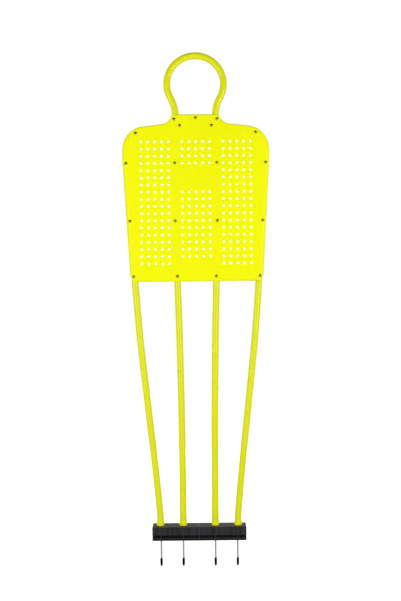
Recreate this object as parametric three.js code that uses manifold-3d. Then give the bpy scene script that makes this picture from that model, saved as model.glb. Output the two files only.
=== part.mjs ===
// Free kick mannequin: a training dummy with a perforated chest panel on a frame of bent steel
// tube, standing in a rubber base that four capped ground spikes pin to the turf.
// Millimetres, +Z up. The panel's front face looks along -Y, and left is -X, as seen from the front.
// The origin is the centre of the base's underside, on the ground.
import * as THREE from "three";
import { mergeGeometries, mergeVertices } from "three/addons/utils/BufferGeometryUtils.js";
import Module from "manifold-3d";

const degree = Math.PI / 180;
const quarterTurn = Math.PI / 2;

// Fits shared by all pieces
const fitGap = 0.3;
const overrun = 6;
const weldDistance = 0.0001;

// Frame tube: 25 mm steel tube
const tubeDiameter = 25;
const tubeWall = 1.5;
const tubeSides = 12;
const tubeBoreSides = 8;

// Rubber base
const baseLength = 344;
const baseDepth = 68;
const baseHeight = 50;
const baseToeHeight = 21;
const baseToeInset = 4;
const baseEdge = 3;
const socketDepth = 34;

// Places of the tubes where they stand in the base: from its ends, and from its centre
const outerFootInset = 29;
const innerFootOffset = 59;

// Collar round each leg, on top of the base
const collarDiameter = 28.5;
const collarHeight = 17;
const collarLip = 1.5;

// Chest panel: its outline. A rise is above the hem, its bottom edge, and a drop below its top edge.
const hemHeight = 947.1;
const panelHeight = 613.7;
const chestHalfWidth = 271.1;
const chestDrop = 164;
const hemTaper = 26.6;
const neckHalfWidth = 87;
const hemCornerRadius = 19;
const shoulderRadius = 85;
const flareRadius = 43;
const shoulderSlope = 6.4 * degree;
const neckLean = 10 * degree;
const outlineArcSteps = 4;

// Chest panel: its wall and its rolled edge
const panelWall = 3;
const panelDepth = 28;
const edgeRoll = 6;
const sideRoll = 15.5;
const rollSteps = 3;
const sideGap = 1.2;
const notchGap = 2;
const neckNotchDrop = 12;

// Chest panel: its perforation, whose middle group of columns has a plain field
const holeDiameter = 9;
const holeSides = 6;
const columnPitch = 25.13;
const rowPitch = 26.3;
const topRowDrop = 100.9;
const bottomMargin = 60;
const sideMargin = 8;
const plainRows = [4, 5, 6];

// Tubes behind the panel
const innerHemOffset = 71.3;
const neckTubeOffset = 74;
const straightRise = 225;
const jointDrop = 78;
const spigotLength = 30;
const spigotWall = 1.8;
const swageOverlap = 8;

// Head loop, a round hoop that necks in to the tubes
const loopRadius = 104.5;
const loopCentreRise = 112.8;
const loopNeckAngle = 30 * degree;

// Steps along the bent stretches of the tubes
const legSteps = 11;
const shoulderSteps = 8;
const hoopSteps = 20;
const reverseBendSteps = 4;

// How a leg spreads between the collar and the hem, as [share of the height, share of the spread]
const outerLegShares = [
  [0.03, 0.008],
  [0.148, 0.119],
  [0.274, 0.254],
  [0.464, 0.473],
  [0.717, 0.76],
  [0.869, 0.9],
];
const innerLegShares = [
  [0.03, 0],
  [0.148, 0.03],
  [0.274, 0.08],
  [0.464, 0.19],
  [0.717, 0.5],
  [0.869, 0.76],
];

// Panel screws and nuts
const shankDiameter = 5;
const shankHoleDiameter = 6.2;
const screwSides = 6;
const headDiameter = 11.5;
const headHeight = 3.4;
const headRimHeight = 1.2;
const headCrownHeight = 3;
const headCrownShare = 0.6;
const headSides = 8;
const nutAcrossFlats = 8;
const nutHeight = 4;
const threadProud = 2;
const hemScrewRise = 18.5;
const waistScrewRise = 222;
const chestScrewDrop = 179.2;
const sideScrewOutset = 3;
const innerScrewOutset = 3.5;
const shoulderScrewAngle = 60 * degree;
const neckScrewDrop = 18.5;
const neckScrewOutset = 5;
const lowerNeckScrewDrop = 42;
const lowerNeckScrewOffset = 58.5;
const centreScrewDrop = 14.5;
const bossDiameter = 15;

// Brace plate across the backs of the neck tubes
const braceThickness = 3;
const braceHalfLength = 84;
const braceHeight = 44;
const braceDrop = 7;
const braceCorner = 8;

// Anchor plate moulded into the base, and the screw that holds it down
const anchorEndInset = 20;
const anchorSideInset = 14;
const anchorThickness = 4;
const anchorRise = 5;
const anchorCorner = 6;
const baseScrewHeadDiameter = 8;
const baseScrewHeadHeight = 2.4;
const baseScrewShankDiameter = 4;

// Ground spikes and the caps over their points
const spikeDiameter = 7;
const spikeReach = 96;
const spikePointLength = 14;
const spikeTipDiameter = 1.6;
const spikeHeadDiameter = 14;
const spikeHeadHeight = 3;
const outerSpikeInset = 2.5;
const spikeSides = 10;
const capDiameter = 10;
const capLength = 30;
const capReach = 100.8;
const capNoseLength = 13;
const capNoseDiameter = 4;

// Sizes that follow from those above
const tubeRadius = tubeDiameter / 2;
const boreRadius = tubeRadius - tubeWall;
const panelTop = hemHeight + panelHeight;
const chestHeight = panelTop - chestDrop;
const hemHalfWidth = chestHalfWidth - hemTaper;
const faceBack = -tubeRadius - fitGap;
const faceFront = faceBack - panelWall;
const panelBack = faceFront + panelDepth;
const braceFront = tubeRadius + fitGap;
const braceBack = braceFront + braceThickness;
const socketFloor = baseHeight - socketDepth;
const legRootHeight = baseHeight + fitGap + collarHeight;
const jointHeight = panelTop - jointDrop;
const loopCentreHeight = panelTop + loopCentreRise;
const outerFootOffset = baseLength / 2 - outerFootInset;
const anchorLength = baseLength - 2 * anchorEndInset;
const anchorDepth = baseDepth - 2 * anchorSideInset;
const anchorTop = anchorRise + anchorThickness;
const outerSpikeOffset = outerFootOffset - outerSpikeInset;
const shankRadius = shankDiameter / 2;
const shankHoleRadius = shankHoleDiameter / 2;
const halfNut = nutAcrossFlats / 2;

// The side of the panel leans out from the hem to the chest, and the tube follows it inside.
const sideLean = Math.atan2(hemTaper, panelHeight - chestDrop);
const sideTubeInset = panelWall + sideGap + tubeRadius;
const outerHemOffset = hemHalfWidth - sideTubeInset / Math.cos(sideLean);
const outerChestOffset = chestHalfWidth - sideTubeInset;

// The neck flare meets the top edge at the neck's half width, and the shoulder's straight edge
// touches both the flare and the shoulder corner.
const flareCentreX = neckHalfWidth + flareRadius * Math.cos(neckLean);
const flareCentreHeight = panelTop + flareRadius * Math.sin(neckLean);
const shoulderCentreX = chestHalfWidth - shoulderRadius;
const shoulderEdgeRun = flareCentreX - shoulderCentreX;
const shoulderCentreHeight =
  flareCentreHeight -
  (flareRadius + shoulderRadius) / Math.cos(shoulderSlope) +
  shoulderEdgeRun * Math.tan(shoulderSlope);

const wasm = await Module();
wasm.setup();

// A closed geometry as a solid that can be joined and cut.
function solid(geometry) {
  const bare = geometry.clone();
  bare.deleteAttribute("normal");
  bare.deleteAttribute("uv");
  const merged = mergeVertices(bare, weldDistance);
  const vertProperties = merged.getAttribute("position").array;
  const triVerts = new Uint32Array(merged.index.array);
  return new wasm.Manifold(new wasm.Mesh({ numProp: 3, vertProperties, triVerts }));
}

// A solid as a geometry for a mesh.
function surface(body) {
  const mesh = body.getMesh();
  const geometry = new THREE.BufferGeometry();
  geometry.setAttribute("position", new THREE.BufferAttribute(mesh.vertProperties, 3));
  geometry.setIndex(new THREE.BufferAttribute(mesh.triVerts, 1));
  geometry.computeVertexNormals();
  return geometry;
}

// Cutters that don't touch each other, as one solid.
function cutters(geometries) {
  return solid(mergeGeometries(geometries));
}

// The corners of a regular polygon.
function polygon(radius, sides) {
  return Array.from({ length: sides }, (_, side) => {
    const angle = (side / sides) * 2 * Math.PI;
    return new THREE.Vector2(radius * Math.cos(angle), radius * Math.sin(angle));
  });
}

// A ring or disc cross-section.
function roundShape(radius, sides, innerRadius, innerSides) {
  const shape = new THREE.Shape(polygon(radius, sides));
  if (innerRadius) shape.holes.push(new THREE.Path(polygon(innerRadius, innerSides)));
  return shape;
}

// A rectangle with rounded corners, centred on the origin.
function roundedRectangle(width, height, corner) {
  const shape = new THREE.Shape();
  const x = width / 2 - corner;
  const y = height / 2 - corner;
  shape.absarc(x, y, corner, 0, quarterTurn);
  shape.absarc(-x, y, corner, quarterTurn, 2 * quarterTurn);
  shape.absarc(-x, -y, corner, 2 * quarterTurn, 3 * quarterTurn);
  shape.absarc(x, -y, corner, 3 * quarterTurn, 4 * quarterTurn);
  return shape;
}

// A box given by its low and high corners.
function block(low, high) {
  const size = high.clone().sub(low);
  const box = new THREE.BoxGeometry(size.x, size.y, size.z);
  const centre = low.clone().add(high).divideScalar(2);
  return box.translate(centre.x, centre.y, centre.z).toNonIndexed();
}

// A round bar along Y, at x and height z.
function barAlongY(radius, sides, yStart, yEnd, x, z) {
  const bar = new THREE.CylinderGeometry(radius, radius, yEnd - yStart, sides);
  return bar.translate(x, (yStart + yEnd) / 2, z).toNonIndexed();
}

// A round bar along Z, at x on the centre plane.
function barAlongZ(radius, sides, bottom, top, x) {
  const bar = new THREE.CylinderGeometry(radius, radius, top - bottom, sides);
  return bar.rotateX(quarterTurn).translate(x, 0, (bottom + top) / 2).toNonIndexed();
}

// A turned piece: its profile as [radius, place along the axis], stood upright along +Z.
function turned(profile, sides) {
  const points = profile.map(([radius, place]) => new THREE.Vector2(radius, place));
  return new THREE.LatheGeometry(points, sides).rotateX(quarterTurn);
}

// A centre line in the plane of the frame, made of stretches that each take their own number of
// steps. A stretch is a flat curve of x and height.
class TubeLine extends THREE.Curve {
  constructor(stretches) {
    super();
    this.stretches = stretches;
    this.steps = stretches.reduce((sum, stretch) => sum + stretch.steps, 0);
  }

  getUtoTmapping(share) {
    return share;
  }

  getPoint(share, target = new THREE.Vector3()) {
    let place = Math.min(Math.max(share, 0), 1) * this.steps;
    let index = 0;
    while (index < this.stretches.length - 1 && place > this.stretches[index].steps) {
      place -= this.stretches[index].steps;
      index += 1;
    }
    const stretch = this.stretches[index];
    const point = stretch.curve.getPointAt(Math.min(place / stretch.steps, 1));
    return target.set(point.x, 0, point.y);
  }
}

// A hollow tube along a centre line.
function tube(line) {
  const section = roundShape(tubeRadius, tubeSides, boreRadius, tubeBoreSides);
  return new THREE.ExtrudeGeometry(section, { steps: line.steps, extrudePath: line });
}

// The x of a line that only climbs, at a height.
function offsetAtHeight(line, height) {
  const samples = line.getPoints(line.steps * tubeSides);
  const above = samples.findIndex((point) => point.z >= height);
  const [low, high] = [samples[above - 1], samples[above]];
  return THREE.MathUtils.mapLinear(height, low.z, high.z, low.x, high.x);
}

// The points of a leg between the collar and the hem, as x and height.
function legPoints(footOffset, hemOffset, shares) {
  const all = [[0, 0], ...shares, [1, 1]];
  return all.map(([heightShare, spreadShare]) => {
    const x = THREE.MathUtils.lerp(footOffset, hemOffset, spreadShare);
    const height = THREE.MathUtils.lerp(legRootHeight, hemHeight, heightShare);
    return new THREE.Vector2(x, height);
  });
}

// The straight foot of a leg, in its socket and collar.
function legFoot(footOffset) {
  const bottom = new THREE.Vector2(footOffset, socketFloor + fitGap);
  const top = new THREE.Vector2(footOffset, legRootHeight);
  return { curve: new THREE.LineCurve(bottom, top), steps: 1 };
}

// Outer leg: it spreads to the hem, runs up inside the panel's side and turns in at the shoulder.
function outerLegLine() {
  const spread = legPoints(outerFootOffset, outerHemOffset, outerLegShares);
  const chest = new THREE.Vector2(outerChestOffset, chestHeight);
  const shoulder = new THREE.Vector2(outerChestOffset, shoulderCentreHeight);
  const bendRadius = shoulderRadius - sideTubeInset;
  const bend = new THREE.EllipseCurve(
    shoulderCentreX,
    shoulderCentreHeight,
    bendRadius,
    bendRadius,
    0,
    quarterTurn - shoulderSlope,
  );
  return new TubeLine([
    legFoot(outerFootOffset),
    { curve: new THREE.SplineCurve(spread), steps: legSteps },
    { curve: new THREE.LineCurve(spread.at(-1), chest), steps: 1 },
    { curve: new THREE.LineCurve(chest, shoulder), steps: 1 },
    { curve: bend, steps: shoulderSteps },
  ]);
}

// Inner leg: it spreads a little, and stands straight behind the panel up to the head loop.
function innerLegLine() {
  const spread = legPoints(innerFootOffset, innerHemOffset, innerLegShares);
  const straight = new THREE.Vector2(neckTubeOffset, hemHeight + straightRise);
  const top = new THREE.Vector2(neckTubeOffset, jointHeight);
  return new TubeLine([
    legFoot(innerFootOffset),
    { curve: new THREE.SplineCurve([...spread, straight]), steps: legSteps },
    { curve: new THREE.LineCurve(straight, top), steps: 1 },
  ]);
}

// Head loop: up from the left leg, out round the reverse bend, over the hoop and down again.
function headLoopLine() {
  const reverseRadius =
    (loopRadius * Math.cos(loopNeckAngle) - neckTubeOffset) / (1 - Math.cos(loopNeckAngle));
  const reverseX = neckTubeOffset + reverseRadius;
  const reverseHeight =
    loopCentreHeight - (loopRadius + reverseRadius) * Math.sin(loopNeckAngle);
  const end = (side) => new THREE.Vector2(side * neckTubeOffset, jointHeight + fitGap);
  const bendStart = (side) => new THREE.Vector2(side * neckTubeOffset, reverseHeight);
  const halfTurn = 2 * quarterTurn;
  const reverseBend = (side, from, to) => {
    const centreX = side * reverseX;
    return new THREE.EllipseCurve(centreX, reverseHeight, reverseRadius, reverseRadius, from, to);
  };
  const hoop = new THREE.EllipseCurve(
    0,
    loopCentreHeight,
    loopRadius,
    loopRadius,
    halfTurn + loopNeckAngle,
    -loopNeckAngle,
    true,
  );
  return new TubeLine([
    { curve: new THREE.LineCurve(end(-1), bendStart(-1)), steps: 1 },
    { curve: reverseBend(-1, 0, loopNeckAngle), steps: reverseBendSteps },
    { curve: hoop, steps: hoopSteps },
    { curve: reverseBend(1, halfTurn - loopNeckAngle, halfTurn), steps: reverseBendSteps },
    { curve: new THREE.LineCurve(bendStart(1), end(1)), steps: 1 },
  ]);
}

// Right half of the panel's outline, from the middle of the hem to the middle of the top edge,
// then the left half mirrored. Anticlockwise from the front.
function panelOutline() {
  const half = new THREE.Path();
  const cornerRun = hemCornerRadius * Math.tan((quarterTurn - sideLean) / 2);
  const cornerX = hemHalfWidth - cornerRun;
  const cornerHeight = hemHeight + hemCornerRadius;
  const flareStart = 3 * quarterTurn - shoulderSlope;
  const flareEnd = 2 * quarterTurn + neckLean;
  half.moveTo(0, hemHeight);
  half.absarc(cornerX, cornerHeight, hemCornerRadius, -quarterTurn, -sideLean, false);
  half.lineTo(chestHalfWidth, chestHeight);
  half.absarc(
    shoulderCentreX,
    shoulderCentreHeight,
    shoulderRadius,
    0,
    quarterTurn - shoulderSlope,
    false,
  );
  half.absarc(flareCentreX, flareCentreHeight, flareRadius, flareStart, flareEnd, true);
  half.lineTo(0, panelTop);
  const right = half.getPoints(outlineArcSteps);
  const left = right.slice(1, -1).reverse();
  return [...right, ...left.map((point) => new THREE.Vector2(-point.x, point.y))];
}

// The way out of an outline at one of its points, long enough to shift both edges there alike.
function outwardAt(outline, index) {
  const point = outline[index];
  const before = outline.at(index - 1);
  const after = outline[(index + 1) % outline.length];
  const first = point.clone().sub(before).normalize();
  const second = after.clone().sub(point).normalize();
  const normal = new THREE.Vector2(first.y + second.y, -first.x - second.x).normalize();
  return normal.divideScalar(normal.dot(new THREE.Vector2(first.y, -first.x)));
}

// A dished body: the outline, drawn in by an inset, with a flat front and a rolled front edge.
// The roll is wide along the sides, where it wraps the outer tubes, and tight elsewhere.
function dishedBody(outline, inset, front, back) {
  const rings = [];
  for (let step = 0; step <= rollSteps + 1; step += 1) {
    const angle = Math.min(step / rollSteps, 1) * quarterTurn;
    const ring = outline.map((point, index) => {
      const outward = outwardAt(outline, index);
      const wrap = point.y < shoulderCentreHeight + shoulderRadius ? outward.x ** 2 : 0;
      const roll = THREE.MathUtils.lerp(edgeRoll, sideRoll, Math.min(wrap, 1)) - inset;
      const drawnIn = inset + roll * (1 - Math.sin(angle));
      const y = step > rollSteps ? back : front + roll * (1 - Math.cos(angle));
      return [point.x - outward.x * drawnIn, y, point.y - outward.y * drawnIn];
    });
    rings.push(ring);
  }
  const count = outline.length;
  const index = [];
  for (let step = 0; step <= rollSteps; step += 1) {
    for (let point = 0; point < count; point += 1) {
      const next = (point + 1) % count;
      const near = step * count;
      const far = near + count;
      index.push(near + point, far + point, far + next);
      index.push(near + point, far + next, near + next);
    }
  }
  const flat = (ring) => ring.map(([x, , z]) => new THREE.Vector2(x, z));
  const lastRing = (rollSteps + 1) * count;
  for (const [a, b, c] of THREE.ShapeUtils.triangulateShape(flat(rings[0]), [])) {
    index.push(a, b, c);
  }
  for (const [a, b, c] of THREE.ShapeUtils.triangulateShape(flat(rings.at(-1)), [])) {
    index.push(lastRing + c, lastRing + b, lastRing + a);
  }
  const geometry = new THREE.BufferGeometry();
  geometry.setAttribute("position", new THREE.Float32BufferAttribute(rings.flat(2), 3));
  geometry.setIndex(index);
  return geometry;
}

// The perforation: columns between the outer tubes, without the two in front of the inner tubes,
// and with a plain field and no bottom row in the middle group.
function perforation() {
  const holes = [];
  const tubeColumn = Math.round(neckTubeOffset / columnPitch);
  const lastColumn = Math.floor((outerHemOffset - tubeRadius - sideMargin) / columnPitch);
  const lastRow = Math.floor((panelHeight - topRowDrop - bottomMargin) / rowPitch);
  for (let column = -lastColumn; column <= lastColumn; column += 1) {
    if (Math.abs(column) === tubeColumn) continue;
    for (let row = 0; row <= lastRow; row += 1) {
      const inMiddle = Math.abs(column) < tubeColumn;
      if (inMiddle && (plainRows.includes(row) || row === lastRow)) continue;
      const x = column * columnPitch;
      const z = panelTop - topRowDrop - row * rowPitch;
      const start = faceFront - overrun;
      holes.push(barAlongY(holeDiameter / 2, holeSides, start, faceBack + overrun, x, z));
    }
  }
  return holes;
}

const outerLine = outerLegLine();
const innerLine = innerLegLine();
const loopLine = headLoopLine();

// Every panel screw on the right side and the centre line: its place, and what its nut sits on.
function screwPlaces() {
  const hem = hemHeight + hemScrewRise;
  const waist = hemHeight + waistScrewRise;
  const chest = panelTop - chestScrewDrop;
  const outerAt = (height) => offsetAtHeight(outerLine, height) + sideScrewOutset;
  const innerX = neckTubeOffset + innerScrewOutset;
  const shoulderReach = shoulderRadius - sideTubeInset;
  const shoulderX = shoulderCentreX + shoulderReach * Math.cos(shoulderScrewAngle);
  const shoulderZ = shoulderCentreHeight + shoulderReach * Math.sin(shoulderScrewAngle);
  const neckX = neckTubeOffset + neckScrewOutset;
  return [
    { name: "neck_centre", x: 0, z: panelTop - centreScrewDrop, seat: braceBack },
    { name: "neck", x: neckX, z: panelTop - neckScrewDrop, seat: braceBack },
    { name: "collarbone", x: lowerNeckScrewOffset, z: panelTop - lowerNeckScrewDrop, seat: braceBack },
    { name: "shoulder", x: shoulderX, z: shoulderZ, seat: tubeRadius },
    { name: "chest_outer", x: outerAt(chest), z: chest, seat: tubeRadius },
    { name: "chest_inner", x: innerX, z: chest, seat: tubeRadius },
    { name: "waist_outer", x: outerAt(waist), z: waist, seat: tubeRadius },
    { name: "waist_inner", x: innerX, z: waist, seat: tubeRadius },
    { name: "hem_outer", x: outerAt(hem), z: hem, seat: tubeRadius },
    { name: "hem_inner", x: offsetAtHeight(innerLine, hem), z: hem, seat: tubeRadius },
  ];
}

// The same places with the left side added.
function mirroredPlaces(places) {
  return places.flatMap((place) => {
    if (place.x === 0) return [place];
    const left = { ...place, name: place.name + "_left", x: -place.x };
    return [left, { ...place, name: place.name + "_right" }];
  });
}

const screws = mirroredPlaces(screwPlaces());

// Clearance holes for the screws that pass a stretch of depth.
function screwHoles(places, yStart, yEnd) {
  return cutters(
    places.map(({ x, z }) => barAlongY(shankHoleRadius, screwSides, yStart, yEnd, x, z)),
  );
}

// The slots in the hem and the top edge that the tubes pass through.
function tubeNotches() {
  const reach = tubeRadius + notchGap;
  const back = panelBack + overrun;
  const hemTop = hemHeight + hemCornerRadius + fitGap;
  const hemLow = hemHeight - overrun;
  const outerX = outerHemOffset - reach;
  const innerX = innerHemOffset;
  const loopX = neckTubeOffset - reach;
  const loopLow = panelTop - neckNotchDrop;
  const right = [
    [new THREE.Vector3(outerX, faceBack, hemLow), new THREE.Vector3(chestHalfWidth, back, hemTop)],
    [
      new THREE.Vector3(innerX - reach, faceBack, hemLow),
      new THREE.Vector3(innerX + reach, back, hemTop),
    ],
    [
      new THREE.Vector3(loopX, faceBack, loopLow),
      new THREE.Vector3(neckHalfWidth + overrun, back, panelTop + overrun),
    ],
  ];
  const both = right.flatMap(([low, high]) => {
    const mirroredLow = new THREE.Vector3(-high.x, low.y, low.z);
    const mirroredHigh = new THREE.Vector3(-low.x, high.y, high.z);
    return [block(low, high), block(mirroredLow, mirroredHigh)];
  });
  return cutters(both);
}

// Moulded front: a perforated tray whose skirt turns back round the tubes, with one pillar behind
// the middle of the neck.
function frontShell() {
  const outline = panelOutline();
  const outside = solid(dishedBody(outline, 0, faceFront, panelBack));
  const hollow = solid(dishedBody(outline, panelWall, faceBack, panelBack + overrun));
  const bossHeight = panelTop - centreScrewDrop;
  const bossStart = (faceFront + faceBack) / 2;
  const bossEnd = braceFront - fitGap;
  const boss = solid(barAlongY(bossDiameter / 2, tubeSides, bossStart, bossEnd, 0, bossHeight));
  const holes = screwHoles(screws, faceFront - overrun, braceFront + overrun);
  const shell = outside.subtract(hollow).add(boss).subtract(tubeNotches());
  return surface(shell.subtract(cutters(perforation())).subtract(holes));
}

// A leg or the loop, with the holes of the screws that pass through it.
function drilledTube(body, names) {
  const places = screws.filter(({ name }) => names.includes(name));
  const reach = tubeRadius + overrun;
  return surface(body.subtract(screwHoles(places, -reach, reach)));
}

// Outer leg on the right side, or mirrored to the left.
function outerLeg(side) {
  const body = solid(tube(outerLine));
  const sided = side < 0 ? body.mirror([1, 0, 0]) : body;
  const suffix = side < 0 ? "_left" : "_right";
  const names = ["shoulder", "chest_outer", "waist_outer", "hem_outer"];
  return drilledTube(sided, names.map((name) => name + suffix));
}

// Inner leg, swaged down at its top so that it plugs into the head loop.
function innerLeg(side) {
  const spigotRadius = boreRadius * Math.cos(Math.PI / tubeBoreSides) - fitGap;
  const swageRadius = tubeRadius - tubeWall / 2;
  const spigotBore = spigotRadius - spigotWall;
  const swage = turned(
    [
      [spigotBore, jointHeight - swageOverlap],
      [swageRadius, jointHeight - swageOverlap],
      [swageRadius, jointHeight - swageOverlap / 2],
      [spigotRadius, jointHeight - fitGap],
      [spigotRadius, jointHeight + spigotLength],
      [spigotBore, jointHeight + spigotLength],
      [spigotBore, jointHeight - swageOverlap],
    ],
    tubeSides,
  );
  const body = solid(tube(innerLine)).add(solid(swage.translate(neckTubeOffset, 0, 0)));
  const sided = side < 0 ? body.mirror([1, 0, 0]) : body;
  const suffix = side < 0 ? "_left" : "_right";
  const names = ["chest_inner", "waist_inner", "hem_inner"];
  return drilledTube(sided, names.map((name) => name + suffix));
}

// Head loop, drilled for the neck screws.
function headLoop() {
  return drilledTube(solid(tube(loopLine)), ["neck_left", "neck_right"]);
}

// Brace plate, drilled for the five neck screws.
function neckBrace() {
  const outline = roundedRectangle(2 * braceHalfLength, braceHeight, braceCorner);
  const plate = new THREE.ExtrudeGeometry(outline, {
    depth: braceThickness,
    bevelEnabled: false,
    curveSegments: 2,
  });
  const middle = panelTop - braceDrop - braceHeight / 2;
  plate.rotateX(-quarterTurn).translate(0, braceFront, middle);
  const places = screws.filter(({ seat }) => seat === braceBack);
  const holes = screwHoles(places, braceFront - overrun, braceBack + overrun);
  return surface(solid(plate).subtract(holes));
}

// Screw with a domed head, its thread towards +Y and the head's underside at zero.
function screwGeometry(length) {
  const headRadius = headDiameter / 2;
  const profile = [
    [0, -headHeight],
    [headRadius * headCrownShare, -headCrownHeight],
    [headRadius, -headRimHeight],
    [headRadius, 0],
    [shankRadius, 0],
    [shankRadius, length],
    [0, length],
  ];
  return turned(profile, headSides).rotateX(-quarterTurn);
}

// Hexagon nut, from its seat at zero towards +Y.
function nutGeometry() {
  const corner = halfNut / Math.cos(Math.PI / 6);
  const section = roundShape(corner, 6, shankHoleRadius, screwSides);
  const nut = new THREE.ExtrudeGeometry(section, { depth: nutHeight, bevelEnabled: false });
  return nut.rotateX(-quarterTurn);
}

// Rubber base: a long block with flanks drawn in at the foot, four sockets for the legs, and the
// pockets of the anchor plate, its screw and the spikes.
function rubberBase() {
  const half = baseDepth / 2;
  const toe = half - baseToeInset;
  const section = new THREE.Shape([
    new THREE.Vector2(-toe, 0),
    new THREE.Vector2(toe, 0),
    new THREE.Vector2(half, baseToeHeight),
    new THREE.Vector2(half, baseHeight - baseEdge),
    new THREE.Vector2(half - baseEdge, baseHeight),
    new THREE.Vector2(baseEdge - half, baseHeight),
    new THREE.Vector2(-half, baseHeight - baseEdge),
    new THREE.Vector2(-half, baseToeHeight),
  ]);
  const bar = new THREE.ExtrudeGeometry(section, {
    depth: baseLength - 2 * baseEdge,
    bevelThickness: baseEdge,
    bevelSize: baseEdge,
    bevelOffset: -baseEdge,
    bevelSegments: 1,
  });
  const across = new THREE.Vector3(1, 0, 0);
  const deep = new THREE.Vector3(0, 1, 0);
  const up = new THREE.Vector3(0, 0, 1);
  bar.translate(0, 0, baseEdge - baseLength / 2);
  bar.applyMatrix4(new THREE.Matrix4().makeBasis(deep, up, across));
  const sockets = cutters(
    legFeet.map(({ foot }) =>
      barAlongZ(
        (tubeRadius + fitGap) / Math.cos(Math.PI / tubeSides),
        tubeSides,
        socketFloor,
        baseHeight + overrun,
        foot,
      ),
    ),
  );
  const spikeHoles = cutters(
    legFeet.map(({ spike }) =>
      barAlongZ(spikeDiameter / 2 + fitGap * 2, spikeSides, -overrun, anchorTop, spike),
    ),
  );
  const headPockets = cutters(
    legFeet.map(({ spike }) =>
      barAlongZ(
        spikeHeadDiameter / 2 + fitGap * 2,
        spikeSides,
        anchorRise,
        anchorTop + spikeHeadHeight + 2 * fitGap,
        spike,
      ),
    ),
  );
  const plateOutline = roundedRectangle(
    anchorLength + 2 * fitGap,
    anchorDepth + 2 * fitGap,
    anchorCorner + fitGap,
  );
  const platePocket = new THREE.ExtrudeGeometry(plateOutline, {
    depth: anchorThickness + 2 * fitGap,
    bevelEnabled: false,
    curveSegments: 1,
  }).translate(0, 0, anchorRise - fitGap);
  const screwHole = barAlongZ(
    baseScrewShankDiameter / 2 + fitGap * 2,
    screwSides,
    anchorRise,
    baseHeight + overrun,
    0,
  );
  const body = solid(bar).subtract(sockets).subtract(spikeHoles).subtract(headPockets);
  return surface(body.subtract(solid(platePocket)).subtract(solid(screwHole)));
}

// Anchor plate, with holes for the spikes and for the base screw.
function anchorPlate() {
  const outline = roundedRectangle(anchorLength, anchorDepth, anchorCorner);
  const plate = new THREE.ExtrudeGeometry(outline, {
    depth: anchorThickness,
    bevelEnabled: false,
    curveSegments: 1,
  }).translate(0, 0, anchorRise);
  const low = anchorRise - overrun;
  const high = anchorTop + overrun;
  const holes = legFeet.map(({ spike }) =>
    barAlongZ(spikeDiameter / 2 + fitGap * 2, spikeSides, low, high, spike),
  );
  const radius = baseScrewShankDiameter / 2 + fitGap * 2;
  holes.push(barAlongZ(radius, screwSides, low, high, 0));
  return surface(solid(plate).subtract(cutters(holes)));
}

// Screw that holds the anchor plate up in the base, with its head on top of the rubber.
function baseScrew() {
  const radius = baseScrewHeadDiameter / 2;
  const shank = baseScrewShankDiameter / 2;
  const seat = baseHeight + fitGap;
  const profile = [
    [0, anchorRise],
    [shank, anchorRise],
    [shank, seat],
    [radius, seat],
    [radius * headCrownShare, seat + baseScrewHeadHeight],
    [0, seat + baseScrewHeadHeight],
  ];
  return turned(profile, headSides);
}

// Ground spike: a round rod with a flat head on the anchor plate and a tapered point.
function spikeGeometry() {
  const radius = spikeDiameter / 2;
  const head = spikeHeadDiameter / 2;
  const seat = anchorTop + fitGap;
  const profile = [
    [0, -spikeReach],
    [spikeTipDiameter / 2, -spikeReach],
    [radius, spikePointLength - spikeReach],
    [radius, seat],
    [head, seat],
    [head, seat + spikeHeadHeight],
    [0, seat + spikeHeadHeight],
  ];
  return turned(profile, spikeSides);
}

// Push-on cap over a spike's point: a blunt nose outside, and a bore that follows the point.
function capGeometry() {
  const radius = capDiameter / 2;
  const bore = spikeDiameter / 2 + fitGap;
  const tipBore = spikeTipDiameter / 2 + fitGap;
  const mouth = capLength - capReach;
  const shoulder = capNoseLength - capReach;
  const pointStart = spikePointLength - spikeReach;
  const profile = [
    [0, -capReach],
    [capNoseDiameter / 2, -capReach],
    [radius, shoulder],
    [radius, mouth],
    [bore, mouth],
    [bore, pointStart],
    [tipBore, -spikeReach - fitGap],
    [0, -spikeReach - fitGap],
  ];
  return turned(profile, spikeSides);
}

// Collar round a leg, with a lip at its foot.
function collarGeometry() {
  const radius = collarDiameter / 2;
  const bore = (tubeRadius + fitGap / 2) / Math.cos(Math.PI / tubeSides);
  const bottom = baseHeight + fitGap;
  const top = bottom + collarHeight;
  const profile = [
    [bore, bottom],
    [radius, bottom],
    [radius, top - collarLip],
    [radius - collarLip / 2, top],
    [bore, top],
    [bore, bottom],
  ];
  return turned(profile, tubeSides);
}

const legFeet = [
  { name: "outer_left", foot: -outerFootOffset, spike: -outerSpikeOffset },
  { name: "inner_left", foot: -innerFootOffset, spike: -innerFootOffset },
  { name: "inner_right", foot: innerFootOffset, spike: innerFootOffset },
  { name: "outer_right", foot: outerFootOffset, spike: outerSpikeOffset },
];

// Finishes
const finishes = {
  panelPlastic: { color: 0xf6f904, roughness: 0.35, metalness: 0 },
  coatedTube: { color: 0xe1e30a, roughness: 0.4, metalness: 0 },
  collarPlastic: { color: 0xe6e80a, roughness: 0.5, metalness: 0 },
  zincSteel: { color: 0xa9a99c, roughness: 0.35, metalness: 1 },
  spikeSteel: { color: 0xbbbcbc, roughness: 0.3, metalness: 1 },
  blackRubber: { color: 0x2d2c30, roughness: 0.8, metalness: 0 },
  capRubber: { color: 0x131313, roughness: 0.6, metalness: 0 },
};

// Adds a piece to a group, with a material of its own.
function addPiece(group, name, geometry, finish, position = new THREE.Vector3()) {
  const mesh = new THREE.Mesh(geometry, new THREE.MeshStandardMaterial(finishes[finish]));
  mesh.name = name;
  mesh.position.copy(position);
  group.add(mesh);
}

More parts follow.
